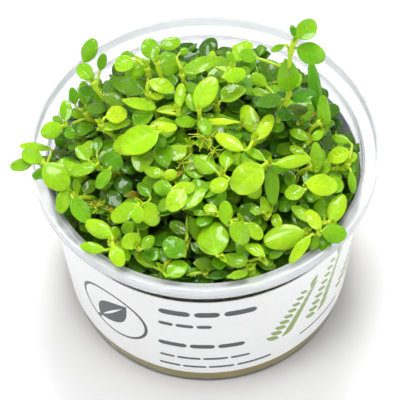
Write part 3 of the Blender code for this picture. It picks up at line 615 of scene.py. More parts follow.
class Foliage:
    """One piece of foliage: its points and faces, with each point's place on its leaf and its tone."""

    def __init__(self):
        self.rings = []
        self.faces = []
        self.places = []
        self.tones = []
        self.count = 0

    def add_loft(self, rings, places, tone):
        """A closed body through rings of points, from its start cap to its end cap."""
        rows, sides, _ = rings.shape
        index = self.count + np.arange(rows * sides).reshape(rows, sides)
        ahead = np.roll(index, -1, axis=1)
        quads = np.stack([index[:-1], ahead[:-1], ahead[1:], index[1:]], axis=-1)
        self.faces += [*quads.reshape(-1, 4).tolist(), index[0, ::-1].tolist(), index[-1].tolist()]
        self.rings.append(rings.reshape(-1, 3))
        self.places.append(places.reshape(-1, 3))
        self.tones.append(np.tile(tone, (rows * sides, 1)))
        self.count += rows * sides

    def build(self, name, leafy):
        piece = add_piece(name, np.concatenate(self.rings), self.faces, leafy)
        for attribute, values in (("leaf_place", self.places), ("leaf_tone", self.tones)):
            layer = piece.data.attributes.new(attribute, "FLOAT_VECTOR", "POINT")
            layer.data.foreach_set("vector", np.concatenate(values).astype(np.float32).ravel())
        return piece


def stalk_rings(joint, base, along, across, side, rise):
    """The rings of a leaf's stalk and where they are on the leaf, short of its base."""
    gap = np.linalg.norm(base - joint)
    knots = [joint, joint + unit(base - joint) * 0.5 * gap, base - along * 0.35 * gap, base]
    for t in (row / STALK_ROWS for row in range(STALK_ROWS)):
        weights = ((1 - t) ** 3, 3 * t * (1 - t) ** 2, 3 * t * t * (1 - t), t**3)
        slopes = ((1 - t) ** 2, 2 * t * (1 - t), t * t)
        centre = sum(w * k for w, k in zip(weights, knots))
        ahead = unit(sum(s * (b - a) for s, a, b in zip(slopes, knots, knots[1:])))
        wide = unit(across - ahead * across.dot(ahead))
        high = np.cross(wide, ahead)
        radius = STALK_RADIUS * (1.15 - 0.25 * t)
        ring = centre + radius * (side[:, None] * wide + rise[:, None] * high)
        yield ring, np.column_stack([np.full_like(side, t - 1.0), side, rise])


def outline(share):
    """A leaf's half-width along its length, as a share of its widest."""
    return max(math.sin(math.pi * share**0.95), 0.0) ** (0.62 - 0.2 * share)


def add_leaf(foliage, blade, look, grid=LEAF_GRID, bend=None):
    """A stalked leaf as a closed sheet that is thickest at its stalk and folds, cups and curls."""
    columns, rows = grid
    length, *axes = blade_frame(blade)
    along, across, up, joint, base = (np.array(v) for v in (*axes, blade.joint, blade.base))
    angle = np.pi - np.pi * np.arange(2 * columns) / columns
    side, rise = np.cos(angle), np.sin(angle)
    edge = np.abs(side)
    parts = list(stalk_rings(joint, base, along, across, side, rise))
    for row in range(rows + 1):
        share = 0.5 * (1 - math.cos(math.pi * row / rows))
        half = max(blade.width / 2 * outline(share), LEAST_HALF_WIDTH)
        stalk = STALK_RADIUS * STALK_FLARE * (1 - share) ** 5
        half = math.hypot(half, stalk)
        thick = math.hypot(LEAF_HALF_THICKNESS * min(1.0, half), stalk)
        grown = 1 - (1 - share) ** 4
        sheet = (LEAF_CUPPING + look.cup) * half * side**2 + look.fold * half * edge
        sheet += look.wave * half * edge**3 * np.sin(look.phase + 9 * share + np.sign(side))
        groove = np.exp(-((half * side / 0.35) ** 2)) * 0.09 * grown * min(1.0, half)
        vein = (share - VEIN_SWEEP * edge**VEIN_ARCH) * VEINS
        quilt = 0.035 * np.cos(2 * np.pi * vein) * (1 - side**2) * grown * min(1.0, half / 3)
        drop = -LEAF_DROOP * length * share**2 - look.curl * length * max(0.0, share - 0.5) ** 2
        lift = sheet - groove + quilt + drop + thick * rise
        turn = look.twist * share
        wide = across * math.cos(turn) + up * math.sin(turn)
        high = up * math.cos(turn) - across * math.sin(turn)
        ring = base + along * (length * share) + (half * side)[:, None] * wide + lift[:, None] * high
        parts.append((ring, np.column_stack([np.full_like(side, share), side, rise])))
    rings, places = (np.array(part) for part in zip(*parts))
    foliage.add_loft(bend(rings) if bend else rings, places, (look.tone, look.warm, look.phase % 1.0))


def smooth_path(points, step):
    """A path through these points without corners, with a point about every step."""
    knots = [points[0], *points, points[-1]]
    path = []
    for a, b, c, d in zip(knots, knots[1:], knots[2:], knots[3:]):
        count = max(1, round(np.linalg.norm(c - b) / step))
        bend, swing = 2 * a - 5 * b + 4 * c - d, 3 * b - a - 3 * c + d
        for t in (i / count for i in range(count)):
            path.append(0.5 * (2 * b + (c - a) * t + bend * t * t + swing * t**3))
    return np.array([*path, points[-1]])


def joints_down(line, drops, foot=-math.inf):
    """The points of a line this far under its end, but none nearer to its foot than this."""
    run = np.append(0, np.cumsum(np.linalg.norm(np.diff(line, axis=0), axis=1)))
    return [Vector(line[np.searchsorted(run, run[-1] - drop)]) for drop in drops if run[-1] - drop >= foot]


def add_tube(foliage, path, radii, tone, sides=STEM_SIDES):
    """A round stem along a path, with a radius at each of its points."""
    heading = np.gradient(path, axis=0)
    heading /= np.maximum(np.linalg.norm(heading, axis=1), 1e-9)[:, None]
    wide = unit(np.cross(heading[0], (0.31, 0.95, 0.05)))
    angle = np.pi - 2 * np.pi * np.arange(sides) / sides
    rings = []
    for centre, ahead, radius in zip(path, heading, radii):
        wide = unit(wide - ahead * wide.dot(ahead))
        high = np.cross(wide, ahead)
        rings.append(centre + radius * (np.cos(angle)[:, None] * wide + np.sin(angle)[:, None] * high))
    rings = np.array(rings)
    places = np.zeros_like(rings)
    places[..., 0] = -1.0
    places[..., 1] = np.cos(angle)
    foliage.add_loft(rings, places, tone)


def stem_radii(path, joints):
    """Radii along a stem, swollen a little at its joints and drawn in at its tip."""
    radii = STEM_THICK + (STEM_THIN - STEM_THICK) * np.linspace(0, 1, len(path))
    for joint in joints:
        apart = np.linalg.norm(path - joint, axis=1)
        radii = radii + JOINT_SWELL * np.exp(-((apart / JOINT_REACH) ** 2))
    radii[-1] *= 0.45
    return radii


def random_look(rng, tone):
    """A leaf's bends, of a damp young leaf that may be cupped either way."""
    cup, fold, curl, twist, wave, phase, bright, warm = (rng.uniform(*ends) for ends in LOOK_RANGES)
    return Look(cup, fold, curl, twist, wave**2, phase, tone + bright, warm)


def add_bud(foliage, top, ahead, tone, rng):
    """The youngest leaves, folded together at a shoot's tip, an inner pair and an outer one."""
    turn = rng.uniform(0, math.tau)
    side = unit(np.cross(ahead, (math.cos(turn), math.sin(turn), 0.2)))
    other = np.cross(side, ahead)
    inner, outer = (1.5, 0.25, 0.0), (2.1, 0.6, 0.35)
    for way, (size, lean, drop) in ((side, inner), (-side, inner), (other, outer), (-other, outer)):
        length = size * rng.uniform(0.85, 1.15)
        out = unit(ahead + way * lean)
        base = top + way * 0.22 - ahead * drop
        ends = (Vector(top - ahead * 0.5), Vector(base), Vector(base + out * length))
        blade = Blade(*ends, length * 0.5, Vector(unit(ahead - way * 0.9)))
        look = Look(0.35, 0.25, -0.2, 0.0, 0.0, rng.random(), min(1.0, tone + 0.12), 0.1)
        add_leaf(foliage, blade, look, SMALL_GRID)


def add_shoot_piece(name, path, blades, greens, leafy, room, rng):
    """One shoot: its stem, its leaves, smaller ones further down and the bud at its tip."""
    foliage = Foliage()
    # The greens hold painted light and shade as well as each leaf's own green, and the stem, lower leaves
    # and bud take their mean.
    tones = [0.05 + 0.1 * green for green in greens]
    points = [np.array(point) for point in path]
    ahead = unit(points[-1] - points[-2])
    line = smooth_path([*points, points[-1] + ahead * 0.7], 0.9)
    radii = stem_radii(line, [np.array(blade.joint) for blade in blades if blade])
    stem_tone = sum(tones) / len(tones)
    add_tube(foliage, line, radii, (stem_tone + 0.3, 0.0, rng.random()))
    for number, (blade, tone) in enumerate(zip(blades, tones)):
        if not blade:
            continue
        near_base, near_tip = FORWARD_LEAVES.get((name, number), (0.0, 0.0))
        forward = (EYE - blade.base).normalized()
        blade = blade._replace(base=blade.base + forward * near_base, tip=blade.tip + forward * near_tip)
        add_leaf(foliage, blade, random_look(rng, tone))
    add_lower_leaves(foliage, points[:4], stem_tone, room, rng)
    add_bud(foliage, points[-1] + ahead * 0.5, ahead, stem_tone, rng)
    return foliage.build(name + "_sprig", leafy)


def add_lower_leaves(foliage, points, tone, room, rng):
    """Pairs of smaller leaves down the stem, under the lowest joint of the listed ones."""
    drops = [PAIR_SPACING * pair for pair in range(1, LOWER_PAIRS + 1)]
    joints = joints_down(smooth_path(points, 0.4), drops, 0.5)
    for pair, joint, way in pair_places(joints, rng.uniform(0, math.pi), 1):
        rise, length, slim = rng.uniform(-0.1, 0.5), rng.uniform(5.0, 7.5), rng.uniform(0.7, 0.9)
        blade = free_blade(room, joint, way, rise, length, slim)
        if blade:
            # Each pair lower down is a darker green, as painted shade.
            look = random_look(rng, tone - 0.1 - 0.08 * pair)
            add_leaf(foliage, blade, look, LOWER_GRID)


def small_blade(joint, angle, rise, length, slim):
    """A small leaf that leaves a stem this way."""
    out = Vector(direction(angle, rise))
    base = joint + out * 1.1
    face = Vector((-math.sin(rise) * math.cos(angle), -math.sin(rise) * math.sin(angle), math.cos(rise)))
    return Blade(joint, base, base + out * length, slim * length, face)


def free_blade(room, joint, way, rise, length, slim):
    """A small leaf with room for it, turned or smaller if need be, which then takes that room."""
    places = [*product((0.15, 0.45, 0.75), (-0.7, 0.7)), (1.0, 0)]
    for turn, size in LEAF_TRIES:
        blade = small_blade(joint, way + turn, rise, length * size, slim)
        points = [np.array(blade_point(blade, *place)) for place in places]
        if room.is_free(points, LEAF_ROOM):
            room.take(points, LEAF_ROOM)
            return blade
    return None


def pressed(rings):
    """Leaves that reach the cup's wall lie back against it."""
    ledge = CUP_HEIGHT - LIP_DEPTH
    out, z = np.hypot(rings[..., 0], rings[..., 1]), rings[..., 2]
    inside = inside_wall(np.minimum(z, ledge)) - WALL_ROOM
    room = np.where(z > ledge + EDGE_ROOM, LIP_RADIUS - WALL - EDGE_ROOM, inside)
    over = np.maximum(out - room, 0.0)
    scale = np.where(over > 0, (room - 0.18 * over) / np.maximum(out, 1e-6), 1.0)
    bent = rings.copy()
    bent[..., :2] *= scale[..., None]
    return bent


def shade_at(gaps, x, y):
    """How deep in a gap's shade a place is, from 0 to 1."""
    return max(math.exp(-((x - gap.x) ** 2 + (y - gap.y) ** 2) / GAP_REACH**2) for gap in gaps)


def sprig_line(x, y, rng):
    """A sprig's stem, from a place on the gel to a tip that stays under the crown."""
    height = ground(x, y) + rng.uniform(-2.2, 1.8)
    height = min(height, max(CUP_HEIGHT + back_fall(x, y) + 2.0, ground(x, y) - 4.5))
    if math.hypot(x, y) > SPRIG_EDGE:
        height = min(height, CUP_HEIGHT - 1.5 + rng.uniform(-1, 1))
    top = np.array((x, y, height))
    foot = np.array((0.84 * x + rng.uniform(-2, 2), 0.84 * y + rng.uniform(-2, 2), SPRIG_FOOT))
    knee = foot + KNEE_HEIGHT * (top - foot) + np.array((rng.uniform(-2, 2), rng.uniform(-2, 2), 0))
    return smooth_path([foot, knee, top], 1.0)


def add_undergrowth(room, leafy, rng):
    """The sprigs under the crown, as two pieces of leaves and one of stems."""
    upper, lower, stems = Foliage(), Foliage(), Foliage()
    gaps = [seen_on_mound(u, v, GAP_DEPTH) for u, v in DARK_GAPS]
    for x, y in spread(SPRIGS, SPRIG_RADIUS):
        line = sprig_line(x, y, rng)
        if rng.random() < 0.8:
            shade = (0.35 + 0.2 * rng.random(), 0.5 * rng.random() ** 2, 0)
            add_tube(stems, line[::3], np.linspace(0.62, 0.42, len(line[::3])), shade, 6)
        # How much darker the leaves here are coloured for lying in a gap's shade: painted shade.
        dark = 0.35 * shade_at(gaps, x, y)
        joints = joints_down(line, SPRIG_PAIRS)
        for pair, joint, way in pair_places(joints, rng.uniform(0, math.pi)):
            length = rng.uniform(5.2, 8.6) if pair else rng.uniform(3.2, 4.8)
            rise = rng.uniform(-0.3, 0.5) if pair else rng.uniform(0.2, 0.9)
            blade = free_blade(room, joint, way, rise, length, rng.uniform(0.66, 0.9))
            if blade:
                # Leaves further under the sprig's tip are a darker green, as painted shade.
                tone = 0.44 - 0.06 * SPRIG_PAIRS[pair] + rng.uniform(-0.2, 0.1) - dark
                kind = upper if pair < UPPER_PAIRS else lower
                add_leaf(kind, blade, random_look(rng, tone), SMALL_GRID, pressed)
    add_roots(stems, rng)
    add_withered(lower, rng)
    kinds = (("upper_leaves", upper), ("lower_leaves", lower), ("stems", stems))
    return [foliage.build("undergrowth_" + kind, leafy) for kind, foliage in kinds]


def add_roots(stems, rng):
    """Tufts of fine yellow roots that wander over the leaves."""
    for u, v, rise, count, reach in ROOT_TUFTS:
        centre = np.array(seen_on_mound(u, v, rise))
        for _ in range(count):
            turn, lift = rng.uniform(0, math.tau), rng.uniform(-0.4, 0.7)
            points = [centre + np.array([rng.uniform(-1.0, 1.0) for _ in range(3)])]
            for _ in range(4):
                turn += rng.uniform(-0.7, 0.7)
                lift += rng.uniform(-0.5, 0.3)
                ahead = np.array(direction(turn, lift))
                points.append(points[-1] + ahead * reach / 4 * rng.uniform(0.5, 1.2))
            line = smooth_path(points, 0.5)
            shade = (rng.uniform(0.7, 1.0), rng.uniform(0.0, 0.5), rng.random())
            add_tube(stems, line, np.linspace(0.17, 0.09, len(line)), shade, 5)


def add_withered(foliage, rng):
    """Small brown leaves, folded and half rolled."""
    for u, v, rise in WITHERED:
        place = seen_on_mound(u, v, rise)
        for _ in range(3):
            turn, lift, length = rng.uniform(0, math.tau), rng.uniform(-0.3, 0.5), rng.uniform(3.0, 4.5)
            look = Look(0.5, 0.5, 0.8, rng.uniform(-0.8, 0.8), 0.3, rng.random(), 0.25, 0.8)
            add_leaf(foliage, small_blade(place, turn, lift, length, 0.5), look, SMALL_GRID)


class Graph:
    """The nodes of a material or of the surround, made and joined in one call each."""

    def __init__(self, owner, shader="Principled BSDF"):
        owner.use_nodes = True
        self.owner = owner
        self.tree = owner.node_tree
        self.shader = self.tree.nodes[shader]

    def node(self, kind, inputs=(), **settings):
        made = self.tree.nodes.new(kind)
        for key, value in settings.items():
            setattr(made, key, value)
        for key, value in dict(inputs).items():
            self.plug(made.inputs[key], value)
        return made

    def plug(self, socket, value):
        if isinstance(value, bpy.types.NodeSocket):
            self.tree.links.new(value, socket)
        else:
            socket.default_value = (*value, 1.0) if socket.type == "RGBA" else value

    def set(self, **values):
        for key, value in values.items():
            self.plug(self.shader.inputs[key.replace("_", " ")], value)

    def math(self, operation, a, b=0.0, clamp=False):
        return self.node("ShaderNodeMath", {0: a, 1: b}, operation=operation, use_clamp=clamp).outputs[0]

    def times(self, a, b):
        return self.math("MULTIPLY", a, b)

    def total(self, start, *shares):
        """A value with shares of other values added, each as the value and its weight."""
        for value, weight in shares:
            start = self.math("ADD", start, self.times(value, weight))
        return start

    def step(self, value, low, high, start=0.0, end=1.0):
        """From start under low to end over high, without corners."""
        inputs = {0: value, 1: low, 2: high, 3: start, 4: end}
        return self.node("ShaderNodeMapRange", inputs, interpolation_type="SMOOTHSTEP").outputs[0]

    def mix(self, share, a, b):
        return self.node("ShaderNodeMix", {0: share, 6: a, 7: b}, data_type="RGBA").outputs[2]

    def split(self, kind, output, **settings):
        """The three parts of a vector that a node gives."""
        vector = self.node(kind, **settings).outputs[output]
        return self.node("ShaderNodeSeparateXYZ", {0: vector}).outputs

    def noise(self, scale, detail):
        place = self.node("ShaderNodeTexCoord").outputs["Object"]
        inputs = {"Scale": scale, "Detail": detail, "Vector": place}
        return self.node("ShaderNodeTexNoise", inputs).outputs["Fac"]

    def ramp(self, value, stops):
        made = self.node("ShaderNodeValToRGB", {"Fac": value})
        elements = made.color_ramp.elements
        elements[0].position, elements[1].position = stops[0][0], stops[-1][0]
        for place, _ in stops[1:-1]:
            elements.new(place)
        for element, (_, colour) in zip(elements, stops):
            element.color = (*colour, 1.0)
        return made.outputs["Color"]

    def bump(self, height, strength, distance):
        made = self.node("ShaderNodeBump", {"Height": height, "Strength": strength, "Distance": distance})
        self.set(Normal=made.outputs[0])


LEAF_TONES = [
    (0.0, (0.010, 0.050, 0.002)), (0.3, (0.035, 0.15, 0.003)), (0.55, (0.12, 0.34, 0.004)),
    (0.8, (0.30, 0.60, 0.006)), (1.0, (0.52, 0.80, 0.012))]
WITHERED_BROWN = (0.45, 0.32, 0.02)
PALE_STALK = (0.60, 0.82, 0.04)
DARK_STALK = (0.12, 0.18, 0.02)
COLLAR_SHEEN_DEPTH = 8.0
GEL_TONES = [(0.3, (0.30, 0.215, 0.004)), (0.7, (0.40, 0.29, 0.01))]


def leaf_material():
    """A damp green leaf with arched veins, a pale midrib and a yellow-green stalk."""
    g = Graph(bpy.data.materials.new("living leaf"))
    along, across, _ = g.split("ShaderNodeAttribute", "Vector", attribute_name="leaf_place")
    tone, warmth, _ = g.split("ShaderNodeAttribute", "Vector", attribute_name="leaf_tone")
    side = g.math("ABSOLUTE", across)
    sweep = g.times(g.math("POWER", side, VEIN_ARCH), VEIN_SWEEP)
    wave = g.math("COSINE", g.times(g.times(g.math("SUBTRACT", along, sweep), VEINS), math.tau))
    on_blade = g.step(along, 0.0, 0.1)
    line = g.times(g.step(wave, -0.86, -1.0), on_blade)
    rib = g.times(g.step(side, 0.09, 0.02), on_blade)
    patches = g.math("SUBTRACT", g.noise(260.0, 3.0), 0.5)
    fine = g.noise(1500.0, 2.0)
    # Paler veins and midrib and random patches vary the green; the slightly darker edges are painted
    # shade.
    lit = g.total(tone, (patches, 0.22), (line, 0.03), (rib, 0.06), (g.step(side, 0.85, 1.0), -0.05))
    warm = g.mix(warmth, g.ramp(lit, LEAF_TONES), WITHERED_BROWN)
    # A darker leaf has a darker stalk, so the painted shade in a leaf's tone reaches its stalk too.
    stalk = g.mix(g.math("SUBTRACT", 1.0, tone, clamp=True), PALE_STALK, DARK_STALK)
    puffs = g.times(g.times(wave, on_blade), 0.5)
    dents = ((fine, 0.2), (g.noise(750.0, 2.0), 1.2), (g.noise(330.0, 1.0), 3.0), (rib, -0.8))
    g.set(Base_Color=g.mix(g.step(along, 0.06, -0.02), warm, stalk), Roughness=g.total(0.26, (fine, 0.14)))
    g.set(Subsurface_Weight=0.4, Subsurface_Scale=0.0015, Subsurface_Radius=(0.35, 1.0, 0.15))
    g.set(Specular_IOR_Level=0.1, Coat_Weight=0.55, Coat_Roughness=0.1, Coat_IOR=1.4)
    g.bump(g.total(puffs, *dents), 0.6, 0.0001)
    return g.owner


def clear_plastic():
    """Clear plastic that turns a little white and rough at the collar; the white is a painted reflection
    of the white surround.
    """
    g = Graph(bpy.data.materials.new("clear plastic"))
    height = g.split("ShaderNodeTexCoord", "Object")[2]
    collar = g.step(height, (CUP_HEIGHT - COLLAR_SHEEN_DEPTH) * MM, (CUP_HEIGHT - LIP_DEPTH) * MM)
    g.set(Base_Color=(0.96, 0.98, 1.0), IOR=1.24)
    # Less transmission at the collar lets the white base colour show, as painted reflection.
    g.set(Roughness=g.total(0.06, (collar, 0.22)), Transmission_Weight=g.total(0.99, (collar, -0.37)))
    return g.owner


def gel_material():
    """Olive jelly, a little cloudy."""
    g = Graph(bpy.data.materials.new("nutrient gel"))
    g.set(Base_Color=g.ramp(g.noise(90.0, 3.0), GEL_TONES))
    g.set(Roughness=0.3, Transmission_Weight=0.1, IOR=1.36, Specular_IOR_Level=0.1)
    return g.owner


def paper_material(name, colour):
    """Printed paper with a fine grain and a slight gloss."""
    g = Graph(bpy.data.materials.new(name))
    grain = g.noise(900.0, 3.0)
    g.set(Base_Color=g.mix(grain, tuple(0.96 * c for c in colour), colour), Roughness=0.42)
    g.set(Coat_Weight=0.15, Coat_Roughness=0.25)
    g.set(Subsurface_Weight=0.5, Subsurface_Scale=0.0008, Subsurface_Radius=(1.0, 1.0, 1.0))
    g.bump(grain, 0.1, 0.00003)
    return g.owner


def rounded(profile, steps=4):
    """A profile with each of its inner corners rounded, none of them past half its shorter side."""
    smooth = [profile[0]]
    for corners in zip(profile, profile[1:], profile[2:]):
        before, corner, after = (np.array(point) for point in corners)
        back, ahead = before - corner, after - corner
        reach = min(EDGE_ROUND, 0.45 * np.linalg.norm(back), 0.45 * np.linalg.norm(ahead))
        start, end = corner + unit(back) * reach, corner + unit(ahead) * reach
        for t in (i / steps for i in range(steps + 1)):
            smooth.append(tuple((1 - t) ** 2 * start + 2 * t * (1 - t) * corner + t * t * end))
    return [*smooth, profile[-1]]


def turned_piece(name, profile, made_of):
    """A body turned about Z from (radius, height) points that run down its outer side first."""
    points, faces, rows = [], [], []
    turns = [math.tau * i / TURNED_STEPS for i in range(TURNED_STEPS)]
    for radius, height in profile:
        count = TURNED_STEPS if radius else 1
        rows.append([len(points) + i % count for i in range(TURNED_STEPS)])
        points += [(radius * math.cos(turn), radius * math.sin(turn), height) for turn in turns[:count]]
    closing = rows[:1] if profile[0][0] else []
    for upper, lower in zip(rows, rows[1:] + closing):
        for i in range(TURNED_STEPS):
            j = (i + 1) % TURNED_STEPS
            face = list(dict.fromkeys([upper[i], lower[i], lower[j], upper[j]]))
            if len(face) > 2:
                faces.append(face)
    return add_piece(name, points, faces, made_of, sharp=SHARP_DEGREES)


def cup_profile():
    """The cup's section: down its outer side, over its base and up its inner side."""
    ledge = CUP_HEIGHT - LIP_DEPTH
    top = (LIP_RADIUS - WALL / 2, CUP_HEIGHT)
    under = ledge - LEDGE_THICKNESS
    outside = [
        top, (LIP_RADIUS, CUP_HEIGHT), (LIP_RADIUS, under), (NECK_RADIUS, under),
        (BASE_RADIUS, BASE_BEVEL), (BASE_RADIUS - BASE_BEVEL, 0.0), (0.0, 0.0)]
    inside = [
        (0.0, THIN_FLOOR), (inside_wall(FLOOR) - BASE_BEVEL, THIN_FLOOR),
        (inside_wall(FLOOR + BASE_BEVEL), THIN_FLOOR + BASE_BEVEL), (MOUTH_RADIUS, ledge),
        (LIP_RADIUS - WALL, ledge), (LIP_RADIUS - WALL, CUP_HEIGHT), top]
    return rounded(outside) + rounded(inside)[:-1]


def gel_profile():
    """The gel's section, up to a dished top that climbs the wall a little."""
    bottom, dish = THIN_FLOOR + GEL_GAP, GEL_TOP - GEL_DISH
    side = inside_wall(GEL_TOP) - GEL_GAP
    return [
        (0.0, dish), (side - 2.5, dish), (side - 0.8, GEL_TOP - 0.6 * GEL_DISH), (side, GEL_TOP),
        (inside_wall(FLOOR + BASE_BEVEL) - GEL_GAP, THIN_FLOOR + BASE_BEVEL),
        (inside_wall(FLOOR) - BASE_BEVEL - GEL_GAP, bottom), (0.0, bottom)]


# The print's lines of text, as their bottoms and tops and where their bars begin and end, in degrees
# round the cup from its front.
TEXT_LINES = [
    (41.8, 44.6, (-18.4, -7.0), (-5.6, 3.5), (5.0, 16.8)),
    (35.2, 37.0, (-19.0, -13.5), (-12.6, -6.0), (-5.0, 0.6)),
    (22.9, 25.2, (-20.0, -9.0), (-8.0, 1.5), (2.6, 12.8)),
    (15.7, 16.9, (-20.0, -14.0), (-13.2, -4.0), (-3.2, 6.5), (7.4, 15.0)),
    (10.5, 11.6, (-20.5, -12.0), (-11.2, -2.0), (-1.2, 9.0), (10.0, 24.0)),
    (13.6, 14.5, (37.0, 60.0)),
]

# The round mark: its middle, its ring's radii, and the leaf, its midrib and its stalk as ends and width.
MARK_MIDDLE = (-39.0, 29.0)
MARK_RADII = (12.0, 11.0)
MARK_LEAF = ((-46.5, 21.5), (-31.5, 37.5), 9.0)
MARK_MIDRIB = ((-45.0, 23.2), (-33.5, 35.2), 0.9)
MARK_STALK = ((-48.5, 19.4), (-45.6, 22.4), 1.4)

# The printed sprigs: where each stands, how high it reaches and how far it leans.
PRINTED_SPRIGS = ((26.0, 24.0, 14.0), (44.0, 29.0, 10.0), (62.0, 22.0, 16.0))
PRINTED_FOOT = 17.0
PRINTED_PAIRS = 9


def bar_shape(left, right, low, high):
    """A bar of print with round ends, as (degrees, height) corners."""
    radius = (high - low) / 2
    across = radius / DEGREE
    corners = []
    for middle, start in ((right - across, -90), (left + across, 90)):
        for turn in (math.radians(start + 30 * step) for step in range(7)):
            corners.append((middle + across * math.cos(turn), low + radius + radius * math.sin(turn)))
    return corners


def disc_shape(middle, height, radius, steps=36):
    """A round mark."""
    turns = [math.tau * i / steps for i in range(steps)]
    return [(middle + radius / DEGREE * math.cos(t), height + radius * math.sin(t)) for t in turns]


def leaf_shape(base, tip, width, steps=9):
    """A pointed leaf between two places of the label, in (degrees, height)."""
    start, end = np.array([base[0] * DEGREE, base[1]]), np.array([tip[0] * DEGREE, tip[1]])
    along = end - start
    across = unit(np.array([-along[1], along[0]]))
    shares = [i / steps for i in range(steps)]
    edge = []
    for sign, way in ((-1, shares), (1, [1 - share for share in shares])):
        for share in way:
            half = width / 2 * math.sin(math.pi * share**0.9)
            edge.append(start + along * share + across * half * sign)
    return [(x / DEGREE, z) for x, z in edge]


def label_marks():
    """The print as (corners, ink) pairs, the later ones over the earlier ones."""
    marks = [(bar_shape(*bar, low, high), "ink") for low, high, *bars in TEXT_LINES for bar in bars]
    marks += [(disc_shape(*MARK_MIDDLE, radius), ink) for radius, ink in zip(MARK_RADII, ("ink", "paper"))]
    for leaf, ink in ((MARK_LEAF, "ink"), (MARK_MIDRIB, "paper"), (MARK_STALK, "ink")):
        marks.append((leaf_shape(*leaf), ink))
    for root, reach, lean in PRINTED_SPRIGS:
        for share in ((step + 1) / (PRINTED_PAIRS + 1) for step in range(PRINTED_PAIRS)):
            x, z = root + lean * share, PRINTED_FOOT + reach * share
            size = 6.0 * (1 - 0.4 * share)
            for sign in (1, -1):
                tip = (x + sign * size * 0.85 / DEGREE, z + size * 0.55)
                marks.append((leaf_shape((x + sign * 0.5 / DEGREE, z), tip, size * 0.42), "sprig"))
        ends = [(root + lean * share, PRINTED_FOOT + reach * share) for share in (0.95, 1.15)]
        marks.append((leaf_shape(*ends, 2.2), "sprig"))
    return marks


def label_piece(inks):
    """The label's sleeve: a printed outer side, a plain inner side and thin edges between them."""
    half = 180.0 - LABEL_SEAM_DEGREES / 2
    points, edges, faces = [], [], []
    for column in range(LABEL_COLUMNS + 1):
        angle = -half + 2 * half * column / LABEL_COLUMNS
        edges.append((len(points), len(points) + 1))
        points += [(angle, LABEL_BOTTOM), (angle, LABEL_TOP)]
    marks = label_marks()
    sheet = [(-half, LABEL_BOTTOM), (half, LABEL_BOTTOM), (half, LABEL_TOP), (-half, LABEL_TOP)]
    for corners in (sheet, *(corners for corners, _ in marks)):
        faces.append(list(range(len(points), len(points) + len(corners))))
        points += corners
    flat = [Vector((math.radians(angle) * PRINT_RADIUS, z)) for angle, z in points]
    spots, _, parts, _, _, origins = delaunay_2d_cdt(flat, edges, faces, 1, 1e-5)
    rolled = []
    for extra in (LABEL_GAP + LABEL_THICKNESS, LABEL_GAP):
        for spot in spots:
            angle, radius = spot.x / PRINT_RADIUS, outside_wall(spot.y) + extra
            rolled.append((radius * math.sin(angle), -radius * math.cos(angle), spot.y))
    outer = [list(part) for part in parts]
    inner = [[i + len(spots) for i in reversed(part)] for part in outer]
    rim = dict.fromkeys((a, b) for part in outer for a, b in zip(part, part[1:] + part[:1]))
    sides = [[a, a + len(spots), b + len(spots), b] for a, b in rim if (b, a) not in rim]
    piece = add_piece("label_sleeve", rolled, outer + inner + sides, *inks.values(), sharp=SHARP_DEGREES)
    names = list(inks)
    for polygon, mark in zip(piece.data.polygons, (max(origin) for origin in origins)):
        polygon.material_index = names.index(marks[mark - 1][1]) if mark else 0
    return piece


# The lamps, in metres: name, place, the height that each looks at, size and power.
LAMPS = [
    ("overhead", (0.02, 0.18, 0.58), 0.05, 0.2, 2.2),
    ("front", (-0.07, -0.13, 0.62), 0.05, 0.12, 0.85),
    ("left", (-0.48, -0.26, 0.42), 0.05, 0.35, 0.9),
    ("right", (0.48, -0.32, 0.32), 0.04, 0.45, 0.9),
]
GROUND_HALF = 1500.0
GROUND_DROP = 0.2
GROUND_WHITE = (0.87, 0.87, 0.87)


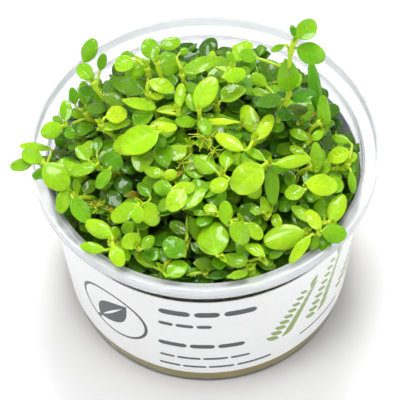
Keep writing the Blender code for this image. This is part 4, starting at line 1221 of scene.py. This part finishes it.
def stage_and_light():
    """A pale floor, soft lamps over the cup and a near-white surround."""
    g = Graph(bpy.data.materials.new("floor white"))
    g.set(Base_Color=GROUND_WHITE, Roughness=0.7)
    corners = ((-1, -1), (1, -1), (1, 1), (-1, 1))
    points = [(x * GROUND_HALF, y * GROUND_HALF, -GROUND_DROP) for x, y in corners]
    floor = add_piece("floor", points, [(0, 1, 2, 3)], g.owner)
    for name, place, aim, size, power in LAMPS:
        data = bpy.data.lights.new(name, "AREA")
        data.shape = "SQUARE"
        data.size = size
        data.energy = power
        lamp = add_object(name, data)
        lamp.location = place
        lamp.rotation_euler = (Vector((0, 0, aim)) - Vector(place)).to_track_quat("-Z", "Y").to_euler()
    g = Graph(bpy.data.worlds.new("surround"), "Background")
    height = g.split("ShaderNodeTexCoord", "Generated")[2]
    g.set(Color=(1.0, 1.0, 1.0), Strength=g.step(height, 0.0, 0.8, 0.9, 0.42))
    bpy.context.scene.world = g.owner


def set_camera():
    """The camera that the photograph was taken with, as solved from the cup's outlines."""
    forward, right, up = camera_axes()
    data = bpy.data.cameras.new("photo camera")
    data.sensor_width = SENSOR_WIDTH
    data.sensor_fit = "HORIZONTAL"
    data.lens = SENSOR_WIDTH * FOCAL_PIXELS / (2 * PHOTO_MIDDLE)
    data.clip_start = 0.01
    camera = add_object("photo camera", data)
    turn = Matrix((right, up, -forward)).transposed()
    camera.matrix_world = Matrix.Translation(EYE * MM) @ turn.to_4x4()
    bpy.context.scene.camera = camera


def main():
    leafy = leaf_material()
    rng = random.Random(SEED + 1)
    grown, room = grow()
    for name, path, blades, greens in grown:
        piece = add_shoot_piece(name, path, blades, greens, leafy, room, rng)
        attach(piece, "root")
        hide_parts("shoot_" + name)
    for piece in add_undergrowth(room, leafy, rng):
        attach(piece, "root")
        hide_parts("undergrowth")
    inks = {
        "paper": paper_material("label paper", (0.90, 0.90, 0.91)),
        "ink": paper_material("dark ink", (0.05, 0.055, 0.06)),
        "sprig": paper_material("pale green ink", (0.25, 0.36, 0.10)),
    }
    cup = turned_piece("cup_body", cup_profile(), clear_plastic())
    gel = turned_piece("gel_body", gel_profile(), gel_material())
    label = label_piece(inks)
    bodies = (
        (cup, "clear_cup", "cup"), (gel, "nutrient_gel", "nutrient_gel"), (label, "label_paper", "label"))
    for piece, slot, node in bodies:
        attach(piece, "root")
        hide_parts(node)
    stage_and_light()
    set_camera()
    bpy.context.scene.view_settings.view_transform = "Standard"


main()
